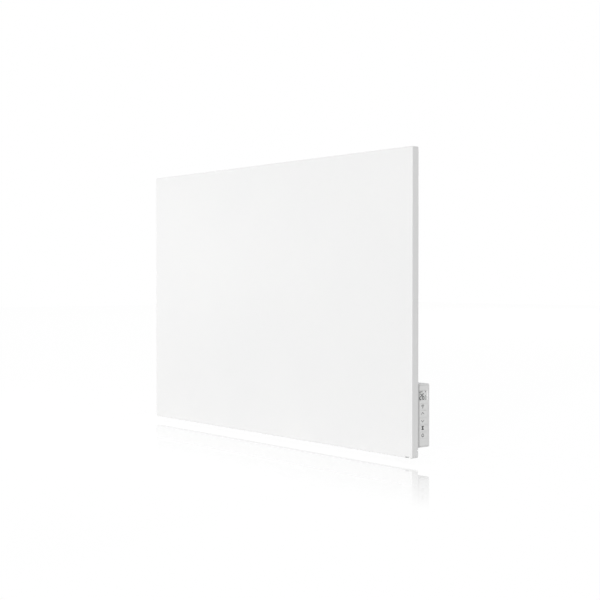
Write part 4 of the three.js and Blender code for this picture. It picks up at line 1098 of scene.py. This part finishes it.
def printSymbol(node, cap):
    at, faceX = middleOf(node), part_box(node)[1].x
    mark = symbols[node]()
    mark.name = pieceName(node).replace("key", "symbol")
    mark.location = (faceX + mm, at.y + symbol["aside"] * mm, at.z + symbol["raise"].get(node, 0) * mm)
    settle(mark)
    with Shaping(mark) as shaping:
        shaping.turnOutwards()
        shaping.faces(lambda middle, normal: normal.x < 0.9)
        shaping.remove()
        shaping.everything()
        bpy.ops.mesh.subdivide(number_cuts=3)
    applied(mark, "SHRINKWRAP", target=cap, wrap_method="PROJECT", use_project_x=True,
            use_negative_direction=True, use_positive_direction=False, offset=symbol["lift"] * mm)
    applied(mark, "SOLIDIFY", thickness=symbol["thick"] * mm, offset=1)
    fitted(mark, node, "key_caps", "ink")


for key, node in zip(repeated(mouldKey, keyNodes), keyNodes):
    fitted(key, node, "key_caps", "key", node)
    printSymbol(node, key)
print("keys moulded and printed")


# Display: clear lens, glass with its frame, and the segments on it

lens = {"corner": 0.9, "edge": 0.12}
glass = {"thick": 1.8, "corner": 0.4, "edge": 0.1, "inset": 1.2, "overlap": 0.4, "holderCorner": 0.6,
         "paneCorner": 0.5, "paneEdge": 0.08, "paneGap": 0.05, "markGap": 0.045}
digits = {"tall": 12.2, "wide": 6.6, "stroke": 1.7, "upright": 2, "middleZ": -2.7, "gap": 0.15}
unitMark = {"tall": 5.6, "wide": 3.2, "stroke": 0.9, "upright": 0.9, "middleZ": -6, "gap": 0.1}
shown = ((-6.9, "abged", digits), (0.3, "afgcde", digits), (7.4, "afed", unitMark))  # y, lit, form
degree = {"y": 6.4, "z": -1.4, "radius": 0.85, "stroke": 0.55}
icon = {"z": 6.8, "level": -9.7, "levelStep": 1.3, "levelWide": 0.95, "levelLow": 1.5, "levelRise": 0.7,
        "clock": -3.6, "clockRadius": 1.35, "clockStroke": 0.55, "lock": 6.3, "lockWide": 2.2,
        "lockTall": 1.7, "lockRadius": 0.75, "lockStroke": 0.45}
segmentThick = 0.04 * mm


def segment(y, z, length, stroke, upright):
    wide, high = (stroke, length) if upright else (length, stroke)
    piece = addBlock("segment", (0, y * mm - wide / 2 * mm, z * mm - high / 2 * mm),
                     (segmentThick, y * mm + wide / 2 * mm, z * mm + high / 2 * mm))
    with Shaping(piece) as shaping:
        shaping.sides(0)
        shaping.bevel(0.46 * stroke * mm, 1)
    return piece


def digit(y, lit, form):
    z, stroke, upright = form["middleZ"], form["stroke"], form["upright"]
    reach, side = (form["tall"] - stroke) / 2, (form["wide"] - upright) / 2
    pieces = []
    for key, up in (("a", 1), ("g", 0), ("d", -1)):
        if key in lit:
            pieces.append(segment(y, z + up * reach, 2 * side - form["gap"], stroke, False))
    for key, right, up in (("b", 1, 1), ("c", 1, -1), ("f", -1, 1), ("e", -1, -1)):
        if key in lit:
            pieces.append(segment(
                y + right * side, z + up * reach / 2, reach - form["gap"], upright, True))
    return pieces


def ringAt(y, z, radius, stroke, start=0, end=360):
    ring = arc(radius, start, end, 16, stroke)
    ring.location = (0, y * mm, z * mm)
    return settle(ring)


def icons():  # heat level, clock and lock
    z, clock, lock = icon["z"], icon["clock"], icon["lock"]
    pieces = []
    for i in range(3):
        height = icon["levelLow"] + icon["levelRise"] * i
        pieces.append(bar(icon["level"] + icon["levelStep"] * i, z - icon["levelLow"] + height / 2,
                          icon["levelWide"], height))
    pieces.append(ringAt(clock, z, icon["clockRadius"], icon["clockStroke"]))
    pieces += [bar(clock, z + 0.5, 0.5, 1.2), bar(clock + 0.4, z, 0.9, 0.45)]  # its hands
    pieces.append(bar(lock, z - 0.6, icon["lockWide"], icon["lockTall"]))
    pieces.append(ringAt(lock, z + 0.3, icon["lockRadius"], icon["lockStroke"], -90, 90))
    return pieces


def dressDisplay():
    lensLow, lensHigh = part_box("display_lens")
    clear = roundedBlock(
        "displayLens", lensLow, lensHigh, 0, lens["corner"] * mm, 5, lens["edge"] * mm, 2, (0, 1))
    smoothed(clear)
    fitted(clear, "heater", "clear_lens", "clear", "display_lens")
    low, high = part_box("lcd_module")
    glassBack, inset, overlap = high.x - glass["thick"] * mm, glass["inset"] * mm, glass["overlap"] * mm
    front = roundedBlock("displayGlass", (glassBack, low.y, low.z), high, 0, glass["corner"] * mm, 2,
                         glass["edge"] * mm, 1)
    holder = roundedBlock(
        "holder", (low.x, low.y + inset, low.z + inset),
        (glassBack + overlap, high.y - inset, high.z - inset), 0, glass["holderCorner"] * mm, 3)
    pane = roundedBlock(
        "pane", (high.x - overlap / 2, lensLow.y + inset, lensLow.z + inset),
        (lensLow.x - glass["paneGap"] * mm, lensHigh.y - inset, lensHigh.z - inset), 0,
        glass["paneCorner"] * mm, 3, glass["paneEdge"] * mm, 1)
    combined(front, [holder, pane], "UNION")
    smoothed(front)
    fitted(front, "heater", "display", "display", "lcd_module")
    lit, unlit = icons() + [ringAt(degree["y"], degree["z"], degree["radius"], degree["stroke"])], []
    for y, keys, form in shown:
        lit += digit(y, keys, form)
        unlit += digit(y, [key for key in "abcdefg" if key not in keys], form)
    marks, ghosts = joined("displayDigits", lit), joined("displayGhosts", unlit)
    for piece, finish in ((marks, "segment"), (ghosts, "ghost")):
        at = middleOf("lcd_module")
        piece.location = (lensLow.x - glass["markGap"] * mm, at.y, at.z)
        settle(piece)
        fitted(piece, "heater", "display", finish)


dressDisplay()
print("display dressed")


# Cable gland: hexagon, ribbed cap and a bore for the cord

gland = {"hex": 9.6, "hexHeight": 5, "hexEdge": 0.5, "hexEnd": 0.4, "cap": 7.6, "rib": 0.4,
         "ribTurn": 30, "round": 1.8, "bore": 4, "boreEdge": 0.3, "shank": 6}


def mouldGland():
    low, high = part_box("cable_gland")
    at = (low + high) / 2
    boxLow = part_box("control_cover")[0].z - cover["gap"] * mm
    hexLow = boxLow - gland["hexHeight"] * mm
    nut = addRod("cableGland", gland["hex"] * mm, 2, at, hexLow, boxLow, 6)
    with Shaping(nut) as shaping:
        shaping.sides(2)
        shaping.bevel(gland["hexEdge"] * mm, 3)
        shaping.rim(2, hexLow)
        shaping.bevel(gland["hexEnd"] * mm, 2)
    cap = addRod("cap", gland["cap"] * mm, 2, at, low.z, hexLow + 0.5 * mm, 48)
    with Shaping(cap) as shaping:
        shaping.rim(2, low.z)
        shaping.bevel(gland["round"] * mm, 4)

        def onRib(middle, normal):
            turn = math.degrees(math.atan2(middle.y - at.y, middle.x - at.x)) % gland["ribTurn"]
            return abs(normal.z) < 0.1 and turn < gland["ribTurn"] / 2
        shaping.faces(onRib)
        bpy.ops.mesh.extrude_region_shrink_fatten(
            TRANSFORM_OT_shrink_fatten={"value": gland["rib"] * mm})
    shank = addRod("shank", gland["shank"] * mm, 2, at, boxLow - mm, high.z, 40)
    combined(nut, [cap, shank], "UNION")
    combined(nut, [addRod("bore", gland["bore"] * mm, 2, at, low.z - mm, high.z + mm, 40)])
    with Shaping(nut) as shaping:
        shaping.rim(2, low.z, 60)
        shaping.bevel(gland["boreEdge"] * mm, 2)
    smoothed(nut)
    fitted(nut, "heater", "dark_plastic", "dark", "cable_gland")


mouldGland()
print("cable gland moulded")


# Finishes of the CAD nodes that stay

kept = {
    "heating_film": "film", "busbar_left": "copper", "busbar_right": "copper", "reflector_foil": "foil",
    "insulation_board": "board", "thermal_cutout": "dark", "wire_grommet": "rubber",
    "live_lead": "brown", "neutral_lead": "blue", "cutout_lead": "blue", "earth_lead": "earth",
    "control_base": "housing",
    "key_board": "circuit", "power_board": "circuit", "relay": "dark", "supply_module": "dark",
    "terminal_block": "terminal", "wifi_module": "shield", "room_sensor": "dark", "gland_nut": "dark",
}
for node, finish in kept.items():
    finished(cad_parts[node], finish)
print("inner parts finished")


# Floor, world and lamps

studio = {"floorDrop": 11.5, "floorSize": 24, "paper": 0.85, "glow": 1.067, "shade": 0.12,
          "mirror": 0.46, "mirrorFrom": 0.045, "mirrorRise": 0.024, "mirrorFades": 0.30,
          "ambient": 0.468, "lampAway": 12, "lampSize": 1.2}
lamps = {
    "keyLamp": {"power": 764, "turn": 28, "rise": 4},
    "backLamp": {"power": 250, "turn": 193, "rise": 8}}
fillLamp = {"power": 1.6, "place": (-1.15, -0.9, 0.18), "aim": (-0.45, 0, 0.12), "size": 0.5}


def layFloor():
    low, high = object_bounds()
    floor = addPlane(
        "floor", (0, 0, -(300 + studio["floorDrop"]) * mm), studio["floorSize"], studio["floorSize"], 0)
    paper = Finish("studio floor", baseColor=[studio["paper"]] * 3, roughness=0.9, specularIORLevel=0.0)
    white = paper.add("Emission", {}, {"Color": (1, 1, 1), "Strength": studio["glow"]})
    shade = paper.add("BsdfDiffuse", {}, {"Color": (0.9, 0.9, 0.9)})
    lit = paper.add("MixShader", {}, {0: studio["shade"], 1: white, 2: shade})
    away = []  # how far a place lies beyond the heater, less so to its sides
    for axis, reach, share in ((0, high.x, 0.3), (1, -low.y, 1)):
        away.append(((paper.part(axis).size() - reach) * share).orMore(0))
    distance = paper.add("Math", {"operation": "SQRT"}, {0: away[0] * away[0] + away[1] * away[1]})
    near, far, half = studio["mirrorFrom"], studio["mirrorFades"], studio["mirrorRise"] / 2
    start = paper.grade(distance, 0, 1, near - half, near + half)
    fade = start * paper.grade(distance, studio["mirror"], 0, near, far)
    mirror = paper.add("BsdfAnisotropic", {}, {"Color": (1, 1, 1), "Roughness": 0.03})
    polished = paper.add("MixShader", {}, {0: fade, 1: lit, 2: mirror})
    paper.show(paper.add("MixShader", {}, {0: paper.seenStraight(), 1: paper.surface, 2: polished}))
    floor.data.materials.append(paper.material)


def hangLamp(name, place, aim, size, power):
    bpy.ops.object.light_add(
        type="AREA", location=place, rotation=(place - aim).to_track_quat("Z", "Y").to_euler())
    lamp = bpy.context.object
    lamp.name = name
    lamp.data.size = size
    lamp.data.energy = power


def lightStudio():
    world = bpy.data.worlds.new("studio")
    bpy.context.scene.world = world
    sky = Shading(world, "World")
    grey, white = [sky.add("Background", {}, {"Color": (1, 1, 1), "Strength": strength})
                   for strength in (studio["ambient"], 1.0)]
    sky.show(sky.add("MixShader", {}, {0: sky.seenStraight(), 1: grey, 2: white}))
    for name, lamp in lamps.items():
        turn, rise = math.radians(lamp["turn"]), math.radians(lamp["rise"])
        towards = Vector((
            math.sin(turn) * math.cos(rise), -math.cos(turn) * math.cos(rise), math.sin(rise)))
        hangLamp(name, studio["lampAway"] * towards, Vector((0, 0, 0)), studio["lampSize"],
                 lamp["power"])
    hangLamp("fillLamp", Vector(fillLamp["place"]), Vector(fillLamp["aim"]), fillLamp["size"],
             fillLamp["power"])


layFloor()
lightStudio()
print("studio lit")
